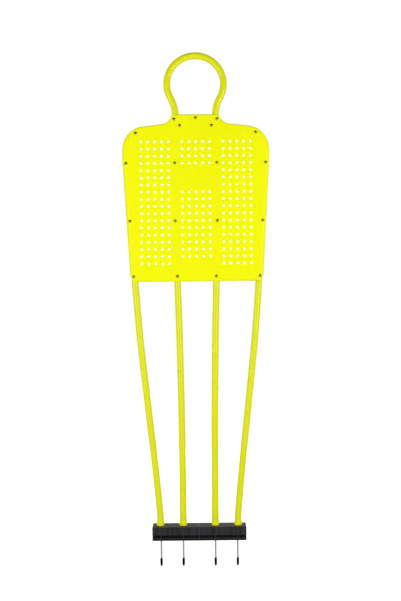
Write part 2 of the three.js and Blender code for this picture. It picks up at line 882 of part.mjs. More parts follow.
// Base, which stays in the ground
const ground = new THREE.Group();
addPiece(ground, "rubber_base", rubberBase(), "blackRubber");
addPiece(ground, "anchor_plate", anchorPlate(), "zincSteel");
addPiece(ground, "base_screw", baseScrew(), "zincSteel");
for (const { name, spike } of legFeet) {
  const place = new THREE.Vector3(spike, 0, 0);
  addPiece(ground, "spike_" + name, spikeGeometry(), "spikeSteel", place);
  addPiece(ground, "spike_cap_" + name, capGeometry(), "capRubber", place);
}

// Tube frame, which tilts in the rubber
const frame = new THREE.Group();
addPiece(frame, "leg_outer_left", outerLeg(-1), "coatedTube");
addPiece(frame, "leg_outer_right", outerLeg(1), "coatedTube");
addPiece(frame, "leg_inner_left", innerLeg(-1), "coatedTube");
addPiece(frame, "leg_inner_right", innerLeg(1), "coatedTube");
addPiece(frame, "head_loop", headLoop(), "coatedTube");
for (const { name, foot } of legFeet) {
  const place = new THREE.Vector3(foot, 0, 0);
  addPiece(frame, "leg_collar_" + name, collarGeometry(), "collarPlastic", place);
}

// Chest panel and its fasteners
const chest = new THREE.Group();
addPiece(chest, "front_shell", frontShell(), "panelPlastic");
addPiece(chest, "neck_brace", neckBrace(), "zincSteel");
for (const { name, x, z, seat } of screws) {
  const headSeat = faceFront - fitGap;
  const nutSeat = seat + fitGap;
  const length = nutSeat + nutHeight + threadProud - headSeat;
  const place = new THREE.Vector3(x, headSeat, z);
  addPiece(chest, "screw_" + name, screwGeometry(length), "zincSteel", place);
  addPiece(chest, "nut_" + name, nutGeometry(), "zincSteel", new THREE.Vector3(x, nutSeat, z));
}

const mannequin = new THREE.Group();
mannequin.add(ground, frame, chest);

export default mannequin;
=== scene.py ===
"""Free kick mannequin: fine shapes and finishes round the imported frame.

The panel is perforated polyethylene on a frame of powder-coated steel tube. The tubes stand in a
moulded rubber base on four steel spikes with vinyl caps. Metres, +Z up, the panel looks along -Y.
"""

import math

import bmesh
import bpy
from mathutils import Matrix, Vector


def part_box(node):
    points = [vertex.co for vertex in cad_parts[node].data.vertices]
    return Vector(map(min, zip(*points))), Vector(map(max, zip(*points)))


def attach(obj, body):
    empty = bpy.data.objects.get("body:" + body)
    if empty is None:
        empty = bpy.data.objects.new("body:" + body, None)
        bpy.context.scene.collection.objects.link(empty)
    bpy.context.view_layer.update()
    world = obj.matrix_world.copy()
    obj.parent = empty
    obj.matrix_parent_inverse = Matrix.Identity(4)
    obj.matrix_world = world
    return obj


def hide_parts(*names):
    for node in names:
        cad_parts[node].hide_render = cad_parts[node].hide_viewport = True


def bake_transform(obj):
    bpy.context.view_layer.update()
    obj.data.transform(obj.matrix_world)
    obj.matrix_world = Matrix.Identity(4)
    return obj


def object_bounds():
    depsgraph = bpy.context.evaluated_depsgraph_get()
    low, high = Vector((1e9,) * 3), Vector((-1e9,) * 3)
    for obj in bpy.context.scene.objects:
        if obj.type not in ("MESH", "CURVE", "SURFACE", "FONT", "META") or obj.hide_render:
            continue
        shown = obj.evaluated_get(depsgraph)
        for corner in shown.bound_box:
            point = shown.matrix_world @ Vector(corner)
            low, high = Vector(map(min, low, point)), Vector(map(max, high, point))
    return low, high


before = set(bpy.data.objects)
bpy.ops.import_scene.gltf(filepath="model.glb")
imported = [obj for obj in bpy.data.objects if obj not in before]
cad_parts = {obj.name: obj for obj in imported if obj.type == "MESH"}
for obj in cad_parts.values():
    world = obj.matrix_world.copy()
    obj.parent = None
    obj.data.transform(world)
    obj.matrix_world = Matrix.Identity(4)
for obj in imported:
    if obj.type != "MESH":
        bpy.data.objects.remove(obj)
cad_box = [list(corner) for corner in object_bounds()]

MM = 0.001
QUARTER = math.pi / 2

# Distance within which points are welded, and how far a cutting solid runs past what it cuts
WELD = 0.01 * MM
OVERRUN = 6 * MM

# Clearance that the frame leaves between pieces that fit together
FIT_GAP = 0.3 * MM

# Boxes of the frame's own pieces, which give the sizes and places of the fine ones
shell_low, shell_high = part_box("front_shell")
brace_low, brace_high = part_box("neck_brace")
plate_low, plate_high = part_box("anchor_plate")
rubber_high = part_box("rubber_base")[1]
loop_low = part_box("head_loop")[0]
HEM = shell_low.z
NECK = shell_high.z
FACE = shell_low.y
PANEL_DEPTH = shell_high.y - shell_low.y
CHEST_HALF = shell_high.x

# How the frame's nodes name the sides and the feet
SIDES = ("left", "right")
FEET = ("outer_left", "inner_left", "inner_right", "outer_right")

# Chest panel: outline, wall and rolled edge
CHEST_DROP = 164 * MM
HEM_TAPER = 26.6 * MM
NECK_HALF = 87 * MM
HEM_CORNER = 19 * MM
SHOULDER_RADIUS = 85 * MM
FLARE_RADIUS = 43 * MM
NECK_CORNER = 10 * MM
SHOULDER_SLOPE = math.radians(6.4)
NECK_LEAN = math.radians(10)
WALL = 3 * MM
EDGE_ROLL = 6 * MM
SIDE_ROLL = 15.5 * MM
FLAT_MARGIN = 3 * MM
LIP = 0.8 * MM
LIP_ROUND_SHARE = 0.3
OUTLINE_STEP = 9 * MM
ARC_STEP = math.radians(5)
ROLL_STEPS = 7

# Chest panel: perforation and screw holes
HOLE_DIAMETER = 9 * MM
HOLE_EDGE = 0.2 * MM
HOLE_SIDES = 16
COLUMN_PITCH = 25.13 * MM
ROW_PITCH = 26.3 * MM
TOP_ROW_DROP = 100.9 * MM
COLUMNS = 17
ROWS = 18
TUBE_COLUMN = 3
PLAIN_ROWS = (4, 6)
SCREW_HOLE = 6.2 * MM
BOSS_DIAMETER = 15 * MM
BOSS_SIDES = 24

# Frame tube, and the slimmer end by which an inner leg plugs into the head loop
TUBE_RADIUS = 12.5 * MM
TUBE_BORE = 11 * MM
TUBE_SIDES = 48
RING_SPACING = 0.5 * MM
SPIGOT_RADIUS = 9.6 * MM
SPIGOT_BORE = 7.8 * MM
SPIGOT_LENGTH = 30 * MM
BORE_TAPER_START = 11 * MM
BORE_TAPER_END = 8 * MM
SIDE_TUBE_GAP = 1.2 * MM
SIDE_TUBE_INSET = WALL + SIDE_TUBE_GAP + TUBE_RADIUS
INNER_HEM = 71.3 * MM
NECK_TUBE = 74 * MM
STRAIGHT_RISE = 225 * MM
LOOP_RADIUS = 104.5 * MM
LOOP_RISE = 112.8 * MM
LOOP_NECK = math.radians(30)
BEND_STEPS = 16
LOOP_STEPS = 100

# Slots in the panel's edge that the tubes pass through, and the stations round a slot's side
NOTCH_ROUND = 1.2 * MM
NOTCH_GAP = 2 * MM
NOTCH_REACH = TUBE_RADIUS + NOTCH_GAP
NOTCH_TOP = HEM + HEM_CORNER + 1.5 * NOTCH_ROUND
NECK_NOTCH_DROP = 12 * MM
NOTCH_SKIN = 0.2 * MM
NOTCH_CLEAR_SHARE = 1.5
NOTCH_SHARES = (-1, -0.6, -0.2, 0.2, 0.6, 1)

# How a leg spreads between collar and hem, as (share of the height, share of the spread)
OUTER_SHARES = (
    (0.03, 0.008), (0.148, 0.119), (0.274, 0.254), (0.464, 0.473), (0.717, 0.76), (0.869, 0.9)
)
INNER_SHARES = ((0.03, 0), (0.148, 0.03), (0.274, 0.08), (0.464, 0.19), (0.717, 0.5), (0.869, 0.76))

# Rubber base
RUBBER_TOE = 21 * MM
RUBBER_GROOVE = 8 * MM
RUBBER_FOOT_INSET = 2.4 * MM
RUBBER_EDGE = 2 * MM
RUBBER_BEAD_LOW = 6.4 * MM
RUBBER_BEAD_HIGH = 10.4 * MM
SOCKET_FLOOR = 16 * MM
SOCKET_RADIUS = 12.8 * MM
SOCKET_LEAD = 1.2 * MM
FIN_WIDTH = 4 * MM
FIN_INSET = 1 * MM
FIN_SHARES = (-0.9, -0.6, -0.5, -0.4, 0.4, 0.5, 0.6, 0.9)

# Fasteners, spikes and caps
ROUND_SIDES = 32
TUBE_SCREW_SHANK = 5 * MM
BASE_SCREW_SHANK = 4 * MM
BASE_SCREW_HOLE = 5.2 * MM
NUT_FLATS = 8 * MM
NUT_BORE = 5.1 * MM
SPIKE_RADIUS = 3.5 * MM
SPIKE_POINT = 14 * MM
SPIKE_POCKET_GAP = 0.6 * MM
CAP_NOSE = 13 * MM
CAP_BORE = 3.8 * MM
CAP_PULL = 36 * MM


def linear(hex_code):
    """An sRGB hex colour as linear RGBA."""
    parts = [int(hex_code[i : i + 2], 16) / 255 for i in (1, 3, 5)]
    return (*(c / 12.92 if c <= 0.04045 else ((c + 0.055) / 1.055) ** 2.4 for c in parts), 1)


def add_node(tree, kind, inputs=None, **settings):
    """Adds a node. Its inputs are named by identifier and take a socket to link or a plain value."""
    node = tree.nodes.new(kind)
    for name, value in settings.items():
        setattr(node, name, value)
    for name, value in (inputs or {}).items():
        socket = next(s for s in node.inputs if s.identifier == name)
        if isinstance(value, bpy.types.NodeSocket):
            tree.links.new(value, socket)
        else:
            socket.default_value = value
    return node


def mixed(node):
    """The output that a Mix node uses. It hides the ones of its other kinds."""
    return next(s for s in node.outputs if s.enabled)


def lerp(a, b, share):
    return a + (b - a) * share


def smooth_step(share):
    share = min(max(share, 0), 1)
    return share * share * (3 - 2 * share)


def new_object(name, bm):
    """A mesh object at the origin."""
    mesh = bpy.data.meshes.new(name)
    bm.to_mesh(mesh)
    bm.free()
    made = bpy.data.objects.new(name, mesh)
    bpy.context.scene.collection.objects.link(made)
    return made


def skin(bm, rings, closed=True, loop_back=False):
    """Quads between rings of points. Returns the rings' vertices."""
    rows = [[bm.verts.new(point) for point in ring] for ring in rings]
    pairs = list(zip(rows, rows[1:])) + ([(rows[-1], rows[0])] if loop_back else [])
    for near, far in pairs:
        count = len(near)
        for i in range(count if closed else count - 1):
            j = (i + 1) % count
            bm.faces.new((near[i], far[i], far[j], near[j]))
    return rows


def ring(radius, height, sides):
    """Points of a level circle round the Z axis."""
    turns = (2 * math.pi * i / sides for i in range(sides))
    return [Vector((radius * math.cos(a), radius * math.sin(a), height)) for a in turns]


def turn_up(profile, sides, closed=False, matrix=None):
    """A turned mesh from (radius, height) pairs. An open profile starts and ends in a flat cap."""
    bm = bmesh.new()
    rows = skin(bm, [ring(r, h, sides) for r, h in profile], loop_back=closed)
    if not closed:
        bm.faces.new(rows[0])
        bm.faces.new(rows[-1])
    if matrix:
        bm.transform(matrix)
    return bm


def tidy(bm, smooth=True):
    """Welds a mesh and turns its faces out."""
    bmesh.ops.remove_doubles(bm, verts=bm.verts, dist=WELD)
    bmesh.ops.recalc_face_normals(bm, faces=bm.faces)
    if smooth:
        for face in bm.faces:
            face.smooth = True
    return bm


def bake(obj):
    """Turns what an object's modifiers make into its plain mesh."""
    bpy.context.view_layer.update()
    graph = bpy.context.evaluated_depsgraph_get()
    mesh = bpy.data.meshes.new_from_object(obj.evaluated_get(graph))
    obj.modifiers.clear()
    obj.data = mesh


def carve(obj, cutter, operation="DIFFERENCE"):
    """Cuts an object with the solids in a mesh."""
    tool = new_object("cutter", tidy(cutter))
    change = obj.modifiers.new("carve", "BOOLEAN")
    change.object = tool
    change.operation = operation
    change.solver = "EXACT"
    bake(obj)
    bpy.data.objects.remove(tool)


def finish_piece(obj, material, body, slot, nodes, crease=math.radians(32)):
    """Gives a piece its finish, and seats it in place of the frame's nodes."""
    obj.data.materials.clear()
    obj.data.materials.append(material)
    for face in obj.data.polygons:
        face.material_index = 0
    obj.data.set_sharp_from_angle(angle=crease)
    if body:
        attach(obj, body)
    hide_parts(*nodes)
    return obj


def joined(meshes):
    """Several meshes as one."""
    whole = bmesh.new()
    for bm in meshes:
        part = bpy.data.meshes.new("part")
        bm.to_mesh(part)
        bm.free()
        whole.from_mesh(part)
        bpy.data.meshes.remove(part)
    return whole


def rod(radius, start, end, sides=24):
    """A closed round bar between two points."""
    run = Vector(end) - Vector(start)
    turn = Vector((0, 0, 1)).rotation_difference(run).to_matrix().to_4x4()
    place = Matrix.Translation(start) @ turn
    return turn_up([(radius, 0), (radius, run.length)], sides, matrix=place)


# Materials

# Between these two levels lies nearly all of a noise pattern
NOISE_LOW = 0.3
NOISE_HIGH = 0.7


def new_material(name, patterns=None):
    """An empty material, the place on its piece, and the sockets of its noise patterns by name.
    A pattern has a width, a height too where it is drawn out, a detail and a roughness."""
    material = bpy.data.materials.new(name)
    material.use_nodes = True
    tree = material.node_tree
    tree.nodes.clear()
    place = add_node(tree, "ShaderNodeTexCoord").outputs["Object"]
    found = {}
    for label, pattern in (patterns or {}).items():
        width, height = pattern["width"], pattern.get("height", pattern["width"])
        drawn_out = add_node(
            tree, "ShaderNodeMapping", {"Vector": place, "Scale": (1, 1, width / height)}
        ).outputs["Vector"]
        noise = {"Vector": drawn_out, "Scale": 1 / width}
        noise.update({"Detail": pattern["detail"], "Roughness": pattern["rough"]})
        found[label] = add_node(tree, "ShaderNodeTexNoise", noise).outputs["Fac"]
    return material, tree, place, found


def close_material(tree, patterns, tone, rough, surface, relief=None):
    """Ends a material in its surface shader. The tone is a colour's socket, or a pattern's name
    with the two colours that it runs between. The roughness is a number, or a pattern's name with
    its two ends. The relief is a pattern's name with its strength and its depth."""
    if isinstance(tone, tuple):
        label, dark, light = tone
        colours = {"Factor_Float": patterns[label], "A_Color": linear(dark), "B_Color": linear(light)}
        tone = mixed(add_node(tree, "ShaderNodeMix", colours, data_type="RGBA"))
    if isinstance(rough, tuple):
        label, low, high = rough
        levels = {"Value": patterns[label], "From Min": NOISE_LOW, "From Max": NOISE_HIGH}
        ends = {"To Min": low, "To Max": high}
        rough = add_node(tree, "ShaderNodeMapRange", {**levels, **ends}).outputs["Result"]
    inputs = {"Base Color": tone, "Roughness": rough, **surface}
    if relief:
        label, strength, depth = relief
        bump = {"Height": patterns[label], "Strength": strength, "Distance": depth}
        inputs["Normal"] = add_node(tree, "ShaderNodeBump", bump).outputs["Normal"]
    shader = add_node(tree, "ShaderNodeBsdfPrincipled", inputs)
    add_node(tree, "ShaderNodeOutputMaterial", {"Surface": shader.outputs["BSDF"]})


def plain_material(name, patterns, tone, rough, surface, relief=None):
    """A material that needs nothing but its patterns."""
    material, tree, _, found = new_material(name, patterns)
    close_material(tree, found, tone, rough, surface, relief)
    return material


def standing_out(tree, reach):
    """One on the rubber faces that stand out, and zero in the groove and on the foot, where the rubber is
    painted in shade.
    """
    standing = 0.0
    for value, edge, fade in (
        (reach["X"], rubber_high.x - 4 * MM, 2 * MM),
        (reach["Y"], rubber_high.y - 1.2 * MM, 0.8 * MM),
        (reach["Z"], RUBBER_TOE, 1 * MM),
    ):
        past = add_node(
            tree, "ShaderNodeMapRange", {"Value": value, "From Min": edge - fade, "From Max": edge}
        ).outputs["Result"]
        standing = add_node(
            tree, "ShaderNodeMath", {"Value": standing, "Value_001": past}, operation="MAXIMUM"
        ).outputs[0]
    return standing


def moulded_rubber():
    """Compression-moulded black rubber: matt charcoal with a faint violet cast, streaked upright
    where the crumb flowed in the mould, and finely pitted. Faces that look up are painted
    lighter, as painted light from above, and flash is left along the mould's parting line in the
    middle. The groove and the foot are painted a plain near-black with less sheen, as painted
    shade low on the base."""
    flash_core, flash_edge = 0.5 * MM, 1.2 * MM
    material, tree, place, patterns = new_material(
        "moulded_rubber",
        {
            "streaks": {"width": 11 * MM, "height": 160 * MM, "detail": 3, "rough": 0.55},
            "pits": {"width": 1.8 * MM, "detail": 4, "rough": 0.65},
        },
    )
    facing = add_node(tree, "ShaderNodeNewGeometry").outputs["Normal"]
    upward = add_node(tree, "ShaderNodeSeparateXYZ", {"Vector": facing}).outputs["Z"]
    size = add_node(tree, "ShaderNodeVectorMath", {"Vector": place}, operation="ABSOLUTE")
    reach = add_node(tree, "ShaderNodeSeparateXYZ", {"Vector": size.outputs["Vector"]}).outputs
    tone = linear("#060508")
    # Layers: upright streaks, then painted light on the faces that look up, then the flash line.
    for value, start, end, first, last, colour in (
        (patterns["streaks"], 0.42, 0.52, 0.0, 1.0, "#222024"),
        (upward, 0.5, 0.95, 0.0, 1.0, "#49474B"),
        (reach["X"], flash_core, flash_edge, 0.45, 0.0, "#47454A"),
    ):
        ends = {"Value": value, "From Min": start, "From Max": end, "To Min": first, "To Max": last}
        share = add_node(tree, "ShaderNodeMapRange", ends).outputs["Result"]
        layers = {"Factor_Float": share, "A_Color": tone, "B_Color": linear(colour)}
        tone = mixed(add_node(tree, "ShaderNodeMix", layers, data_type="RGBA"))
    # Painted shade: the groove and the foot get a plain near-black and a lower specular level, for the shade
    # low on the base.
    standing = standing_out(tree, reach)
    layers = {"Factor_Float": standing, "A_Color": linear("#090909"), "B_Color": tone}
    tone = mixed(add_node(tree, "ShaderNodeMix", layers, data_type="RGBA"))
    shine = add_node(tree, "ShaderNodeMapRange", {"Value": standing, "To Min": 0.1, "To Max": 0.25})
    surface = {"IOR": 1.52, "Specular IOR Level": shine.outputs["Result"]}
    relief = ("pits", 0.5, 0.25 * MM)
    close_material(tree, patterns, tone, ("streaks", 0.56, 0.68), surface, relief)
    return material


# High-density polyethylene, injection moulded in a spark-eroded mould: a dense fluorescent dye
# under a soft sheen, with faint flow marks that fan down from the neck. Its grain is 0.3 mm on the
# real panel, and is drawn five times as coarse so that it shows.
polyethylene = plain_material(
    "moulded_polyethylene",
    {
        "flow": {"width": 70 * MM, "height": 200 * MM, "detail": 3, "rough": 0.4},
        "grain": {"width": 1.6 * MM, "detail": 2, "rough": 0.6},
    },
    tone=("flow", "#F4F700", "#FAFC02"),
    rough=("grain", 0.36, 0.46),
    surface={"IOR": 1.5, "Specular IOR Level": 0.1},
    relief=("grain", 0.12, 0.06 * MM),
)

# Polyester powder coat, baked on steel tube: an even gloss with a fine orange peel, a shade
# greener than the panel
coated_steel = plain_material(
    "powder_coat",
    {
        "clouds": {"width": 45 * MM, "detail": 2, "rough": 0.5},
        "peel": {"width": 2.2 * MM, "detail": 1, "rough": 0.4},
    },
    tone=("clouds", "#E3E500", "#E9EB02"),
    rough=("clouds", 0.21, 0.27),
    surface={"IOR": 1.5, "Specular IOR Level": 0.22},
    relief=("peel", 0.04, 0.05 * MM),
)

# Soft vinyl, injection moulded: satin, with a slight bloom where it was handled
yellow_vinyl = plain_material(
    "collar_vinyl",
    {"bloom": {"width": 9 * MM, "detail": 3, "rough": 0.6}},
    tone=("bloom", "#E7E900", "#F0F20A"),
    rough=("bloom", 0.42, 0.55),
    surface={"IOR": 1.53, "Specular IOR Level": 0.12},
)

# Zinc-plated steel, passivated to an olive gold or grey: cloudy metal with fine marks of the wire
# brush
zinc, plate_zinc, bright_zinc = (
    plain_material(
        name,
        {
            "clouds": {"width": 2.5 * MM, "detail": 3, "rough": 0.6},
            "marks": {"width": 0.5 * MM, "detail": 2, "rough": 0.5},
        },
        tone=("clouds", dark, light),
        rough=("marks", smoothest, dullest),
        surface={"Metallic": 1},
    )
    for name, dark, light, smoothest, dullest in (
        ("yellow_zinc", "#827E22", "#A6A244", 0.24, 0.375),
        ("plate_zinc", "#8F918E", "#B3B4B0", 0.336, 0.525),
        ("bright_zinc", "#B9B9B4", "#DADAD6", 0.24, 0.375),
    )
)

# Cold-drawn steel rod, zinc plated: bright, with fine die lines along its length
spike_steel = plain_material(
    "drawn_steel",
    {"lines": {"width": 0.5 * MM, "height": 60 * MM, "detail": 2, "rough": 0.5}},
    tone=("lines", "#7C7E7E", "#A0A2A2"),
    rough=0.34,
    surface={"Metallic": 1},
    relief=("lines", 0.25, 0.04 * MM),
)
rubber = moulded_rubber()

# Black vinyl, dipped: matt and slightly uneven, as dark as the rubber of the base gets
black_vinyl = plain_material(
    "dipped_vinyl",
    {"ripples": {"width": 4 * MM, "detail": 2, "rough": 0.5}},
    tone=("ripples", "#010101", "#050505"),
    rough=0.65,
    surface={"IOR": 1.53, "Specular IOR Level": 0.04},
    relief=("ripples", 0.2, 0.1 * MM),
)


# Panel outline: each point has its place, its way out and how far its edge wraps a side tube


def outline_line(start, end, stations=()):
    """Points along a straight edge, with closer ones round the stations, which are shares."""
    run = end - start
    out = Vector((run.y, -run.x)).normalized()
    steps = max(1, round(run.length / OUTLINE_STEP))
    shares = {i / steps for i in range(steps + 1)}
    near = NOTCH_ROUND / run.length
    for station in stations:
        shares = {s for s in shares if abs(s - station) > near * NOTCH_CLEAR_SHARE or s in (0, 1)}
        shares |= {station + near * t for t in NOTCH_SHARES}
    return [(start + run * s, out) for s in sorted(shares)]


def outline_arc(centre, radius, start, end, hollow=False):
    """Points round an arc. The way out of a hollow arc is towards its centre."""
    steps = max(2, round(abs(end - start) / ARC_STEP))
    found = []
    for i in range(steps + 1):
        angle = lerp(start, end, i / steps)
        way = Vector((math.cos(angle), math.sin(angle)))
        found.append((centre + way * radius, -way if hollow else way))
    return found


def shoulder_arcs():
    """Centres of the shoulder's arc and of the hollow arc between its slope and the neck."""
    flare_x = NECK_HALF + FLARE_RADIUS * math.cos(NECK_LEAN)
    flare_y = NECK + FLARE_RADIUS * math.sin(NECK_LEAN)
    shoulder_x = CHEST_HALF - SHOULDER_RADIUS
    rise = (flare_x - shoulder_x) * math.tan(SHOULDER_SLOPE)
    shoulder_y = flare_y - (FLARE_RADIUS + SHOULDER_RADIUS) / math.cos(SHOULDER_SLOPE) + rise
    return Vector((shoulder_x, shoulder_y)), Vector((flare_x, flare_y))


def side_lean():
    """How far the panel's sides lean in towards the hem."""
    return math.atan2(HEM_TAPER, NECK - CHEST_DROP - HEM)


def outer_hem():
    """Where an outer leg passes the hem."""
    return CHEST_HALF - HEM_TAPER - SIDE_TUBE_INSET / math.cos(side_lean())


def panel_outline():
    """Right half of the panel's edge from the middle of the hem, then the mirrored left half."""
    lean = side_lean()
    hem_half = CHEST_HALF - HEM_TAPER
    corner = Vector((hem_half - HEM_CORNER * math.tan((QUARTER - lean) / 2), HEM + HEM_CORNER))
    shoulder, flare = shoulder_arcs()
    neck_radius = FLARE_RADIUS + NECK_CORNER
    corner_rise = flare.y - NECK + NECK_CORNER
    corner_reach = math.sqrt(neck_radius**2 - corner_rise**2)
    neck_corner = Vector((flare.x - corner_reach, NECK - NECK_CORNER))
    flare_end = math.pi + math.asin(corner_rise / neck_radius)

    hem_arc = outline_arc(corner, HEM_CORNER, -QUARTER, -lean)
    shoulder_arc = outline_arc(shoulder, SHOULDER_RADIUS, 0, QUARTER - SHOULDER_SLOPE)
    flare_arc = outline_arc(flare, FLARE_RADIUS, 3 * QUARTER - SHOULDER_SLOPE, flare_end, hollow=True)
    neck_arc = outline_arc(neck_corner, NECK_CORNER, flare_end - math.pi, QUARTER)

    hem_start, hem_end = Vector((0, HEM)), hem_arc[0][0]
    hem_notches = (INNER_HEM - NOTCH_REACH, INNER_HEM + NOTCH_REACH, outer_hem() - NOTCH_REACH)
    hem_line = outline_line(hem_start, hem_end, [x / hem_end.x for x in hem_notches])
    side_start, side_end = hem_arc[-1][0], Vector((CHEST_HALF, NECK - CHEST_DROP))
    notch_top = (NOTCH_TOP - side_start.y) / (side_end.y - side_start.y)
    side_line = outline_line(side_start, side_end, [notch_top])
    upper_side = outline_line(side_end, shoulder_arc[0][0])
    slope_line = outline_line(shoulder_arc[-1][0], flare_arc[0][0])
    neck_start, neck_end = neck_arc[-1][0], Vector((0, NECK))
    neck_notch = 1 - (NECK_TUBE - NOTCH_REACH) / neck_start.x
    neck_line = outline_line(neck_start, neck_end, [neck_notch])

    half = []
    for stretch in (hem_line, hem_arc, side_line, upper_side, shoulder_arc):
        half += [(place, out, out.x**2) for place, out in stretch]
    last_wrap = half[-1][2]
    for stretch in (slope_line, flare_arc, neck_arc, neck_line):
        half += [(place, out, last_wrap) for place, out in stretch]
    whole = [half[0]]
    for place, out, wrap in half[1:]:
        if (place - whole[-1][0]).length > WELD:
            whole.append((place, out, wrap))
        else:
            way = (whole[-1][1] + out).normalized()
            whole[-1] = (whole[-1][0], way, wrap)
    left = [(Vector((-p.x, p.y)), Vector((-o.x, o.y)), w) for p, o, w in reversed(whole[1:-1])]
    return whole + left


def edge_reach(place):
    """How far the panel's edge turns back at a point: all the way, or just its skin at a slot."""
    x, height = abs(place.x), place.y
    width = 2 * NOTCH_ROUND
    if height < HEM + PANEL_DEPTH:
        inner = smooth_step((NOTCH_REACH - abs(x - INNER_HEM)) / width + 0.5)
        outer = smooth_step((x - outer_hem() + NOTCH_REACH) / width + 0.5)
        below = smooth_step((NOTCH_TOP - height) / width + 0.5)
        share = max(inner, outer * below)
    elif height > NECK - PANEL_DEPTH:
        beside = smooth_step((x - NECK_TUBE + NOTCH_REACH) / width + 0.5)
        above = smooth_step((height - NECK + NECK_NOTCH_DROP) / width + 0.5)
        share = beside * above
    else:
        share = 0
    return lerp(PANEL_DEPTH, WALL + NOTCH_SKIN, share)


def edge_section(roll, reach):
    """Section across the panel's edge, as (inset from the outline, depth behind the face)."""
    lip = min(LIP, (reach - WALL) / 2)
    end = reach - lip
    inner_roll = roll - WALL
    skirt = end > roll
    outer_angle = QUARTER if skirt else math.acos(1 - end / roll)
    inner_angle = QUARTER if skirt else math.acos(min(1, (roll - end) / inner_roll))
    steps = ROLL_STEPS - 1 if skirt else ROLL_STEPS
    outside, inside = [], []
    for i in range(steps + 1):
        angle = outer_angle * i / steps
        outside.append((roll * (1 - math.sin(angle)), roll * (1 - math.cos(angle))))
        angle = inner_angle * (1 - i / steps)
        inside.append((roll - inner_roll * math.sin(angle), roll - inner_roll * math.cos(angle)))
    if skirt:
        outside.append((0, end))
        inside.insert(0, (WALL, end))
    first, last = outside[-1][0], inside[0][0]
    rounded = LIP_ROUND_SHARE * lip
    round_lip = [
        (first + rounded, reach - rounded),
        (first + lip, reach),
        (last - lip, reach),
        (last - rounded, reach - rounded),
    ]
    flat = roll + FLAT_MARGIN
    return [(flat, 0), *outside, *round_lip, *inside, (flat, WALL)]


def panel_rim(outline):
    """The rolled edge and skirt, from the flat face round to the flat back."""
    columns = []
    for place, out, wrap in outline:
        roll = lerp(EDGE_ROLL, SIDE_ROLL, wrap)
        section = edge_section(roll, edge_reach(place))
        points = [(place - out * inset, FACE + depth) for inset, depth in section]
        columns.append([Vector((p.x, y, p.y)) for p, y in points])
    bm = bmesh.new()
    skin(bm, columns, closed=False, loop_back=True)
    for face in bm.faces:
        face.smooth = True
    return bm


def new_tree(name, inputs):
    """A geometry tree with inputs of each kind by name, their sockets, and their identifiers."""
    tree = bpy.data.node_groups.new(name, "GeometryNodeTree")
    tree.interface.new_socket("Geometry", in_out="OUTPUT", socket_type="NodeSocketGeometry")
    keys = {}
    for kind, labels in inputs.items():
        for label in labels:
            socket = tree.interface.new_socket(label, in_out="INPUT", socket_type=kind)
            keys[label] = socket.identifier
    return tree, add_node(tree, "NodeGroupInput").outputs, keys


def run_tree(obj, tree, keys, values):
    """Runs a geometry tree on an object with its inputs set, and keeps the result."""
    grown = obj.modifiers.new(tree.name, "NODES")
    grown.node_group = tree
    for label, value in values.items():
        grown[keys[label]] = value
    bake(obj)


def close_tree(tree, geometry, material):
    """Ends a geometry tree: what it has placed becomes real and gets its finish."""
    real = add_node(tree, "GeometryNodeRealizeInstances", {"Geometry": geometry})
    painted = add_node(
        tree, "GeometryNodeSetMaterial", {"Geometry": real.outputs["Geometry"], "Material": material}
    )
    end = next(i.identifier for i in tree.interface.items_tree if i.in_out == "OUTPUT")
    add_node(tree, "NodeGroupOutput", {end: painted.outputs["Geometry"]})


FLOAT, INT, ROTATION = "NodeSocketFloat", "NodeSocketInt", "NodeSocketRotation"
GEOMETRY, MATERIAL, OBJECT = "NodeSocketGeometry", "NodeSocketMaterial", "NodeSocketObject"

# In steps of the hole grid: how far a test looks to one side, and how close is the same place
HALF_STEP = 0.5
SAME_STEP = 0.4


def plain_places(tree, given):
    """Which places of the hole grid stay closed: the tubes' columns, and between those columns
    the plain rows and the bottom row."""
    place = add_node(tree, "GeometryNodeInputPosition").outputs["Position"]
    across = add_node(tree, "ShaderNodeSeparateXYZ", {"Vector": place}).outputs
    column, rise = (
        add_node(
            tree, "ShaderNodeMath", {"Value": across[axis], "Value_001": given[pitch]}, operation="DIVIDE"
        ).outputs[0]
        for axis, pitch in (("X", "Column Pitch"), ("Y", "Row Pitch"))
    )
    beside = add_node(tree, "ShaderNodeMath", {"Value": column}, operation="ABSOLUTE").outputs[0]
    last_row = add_node(
        tree, "ShaderNodeMath", {"Value": given["Rows"], "Value_001": 1}, operation="SUBTRACT"
    ).outputs[0]
    middle_row = add_node(
        tree, "ShaderNodeMath", {"Value": last_row, "Value_001": 2}, operation="DIVIDE"
    ).outputs[0]
    row = add_node(
        tree, "ShaderNodeMath", {"Value": middle_row, "Value_001": rise}, operation="SUBTRACT"
    ).outputs[0]
    tests = {}
    # The grid's places aren't exact, so a test of more or less looks half a step to one side.
    for label, kind, value, limit, shift in (
        ("on tube", "EQUAL", beside, given["Tube Column"], 0),
        ("in middle", "LESS_THAN", beside, given["Tube Column"], HALF_STEP),
        ("past first", "GREATER_EQUAL", row, given["First Plain Row"], HALF_STEP),
        ("before last", "LESS_EQUAL", row, given["Last Plain Row"], -HALF_STEP),
        ("bottom row", "EQUAL", row, last_row, 0),
    ):
        nudged = add_node(
            tree, "ShaderNodeMath", {"Value": value, "Value_001": shift}, operation="ADD"
        ).outputs[0]
        sides = {"A": nudged, "B": limit, "Epsilon": SAME_STEP}
        tests[label] = add_node(
            tree, "FunctionNodeCompare", sides, data_type="FLOAT", operation=kind
        ).outputs["Result"]
    plain = tests["past first"]
    for operation, other in (
        ("AND", "before last"), ("OR", "bottom row"), ("AND", "in middle"), ("OR", "on tube")
    ):
        both = {"Boolean": plain, "Boolean_001": tests[other]}
        plain = add_node(tree, "FunctionNodeBooleanMath", both, operation=operation).outputs["Boolean"]
    return plain


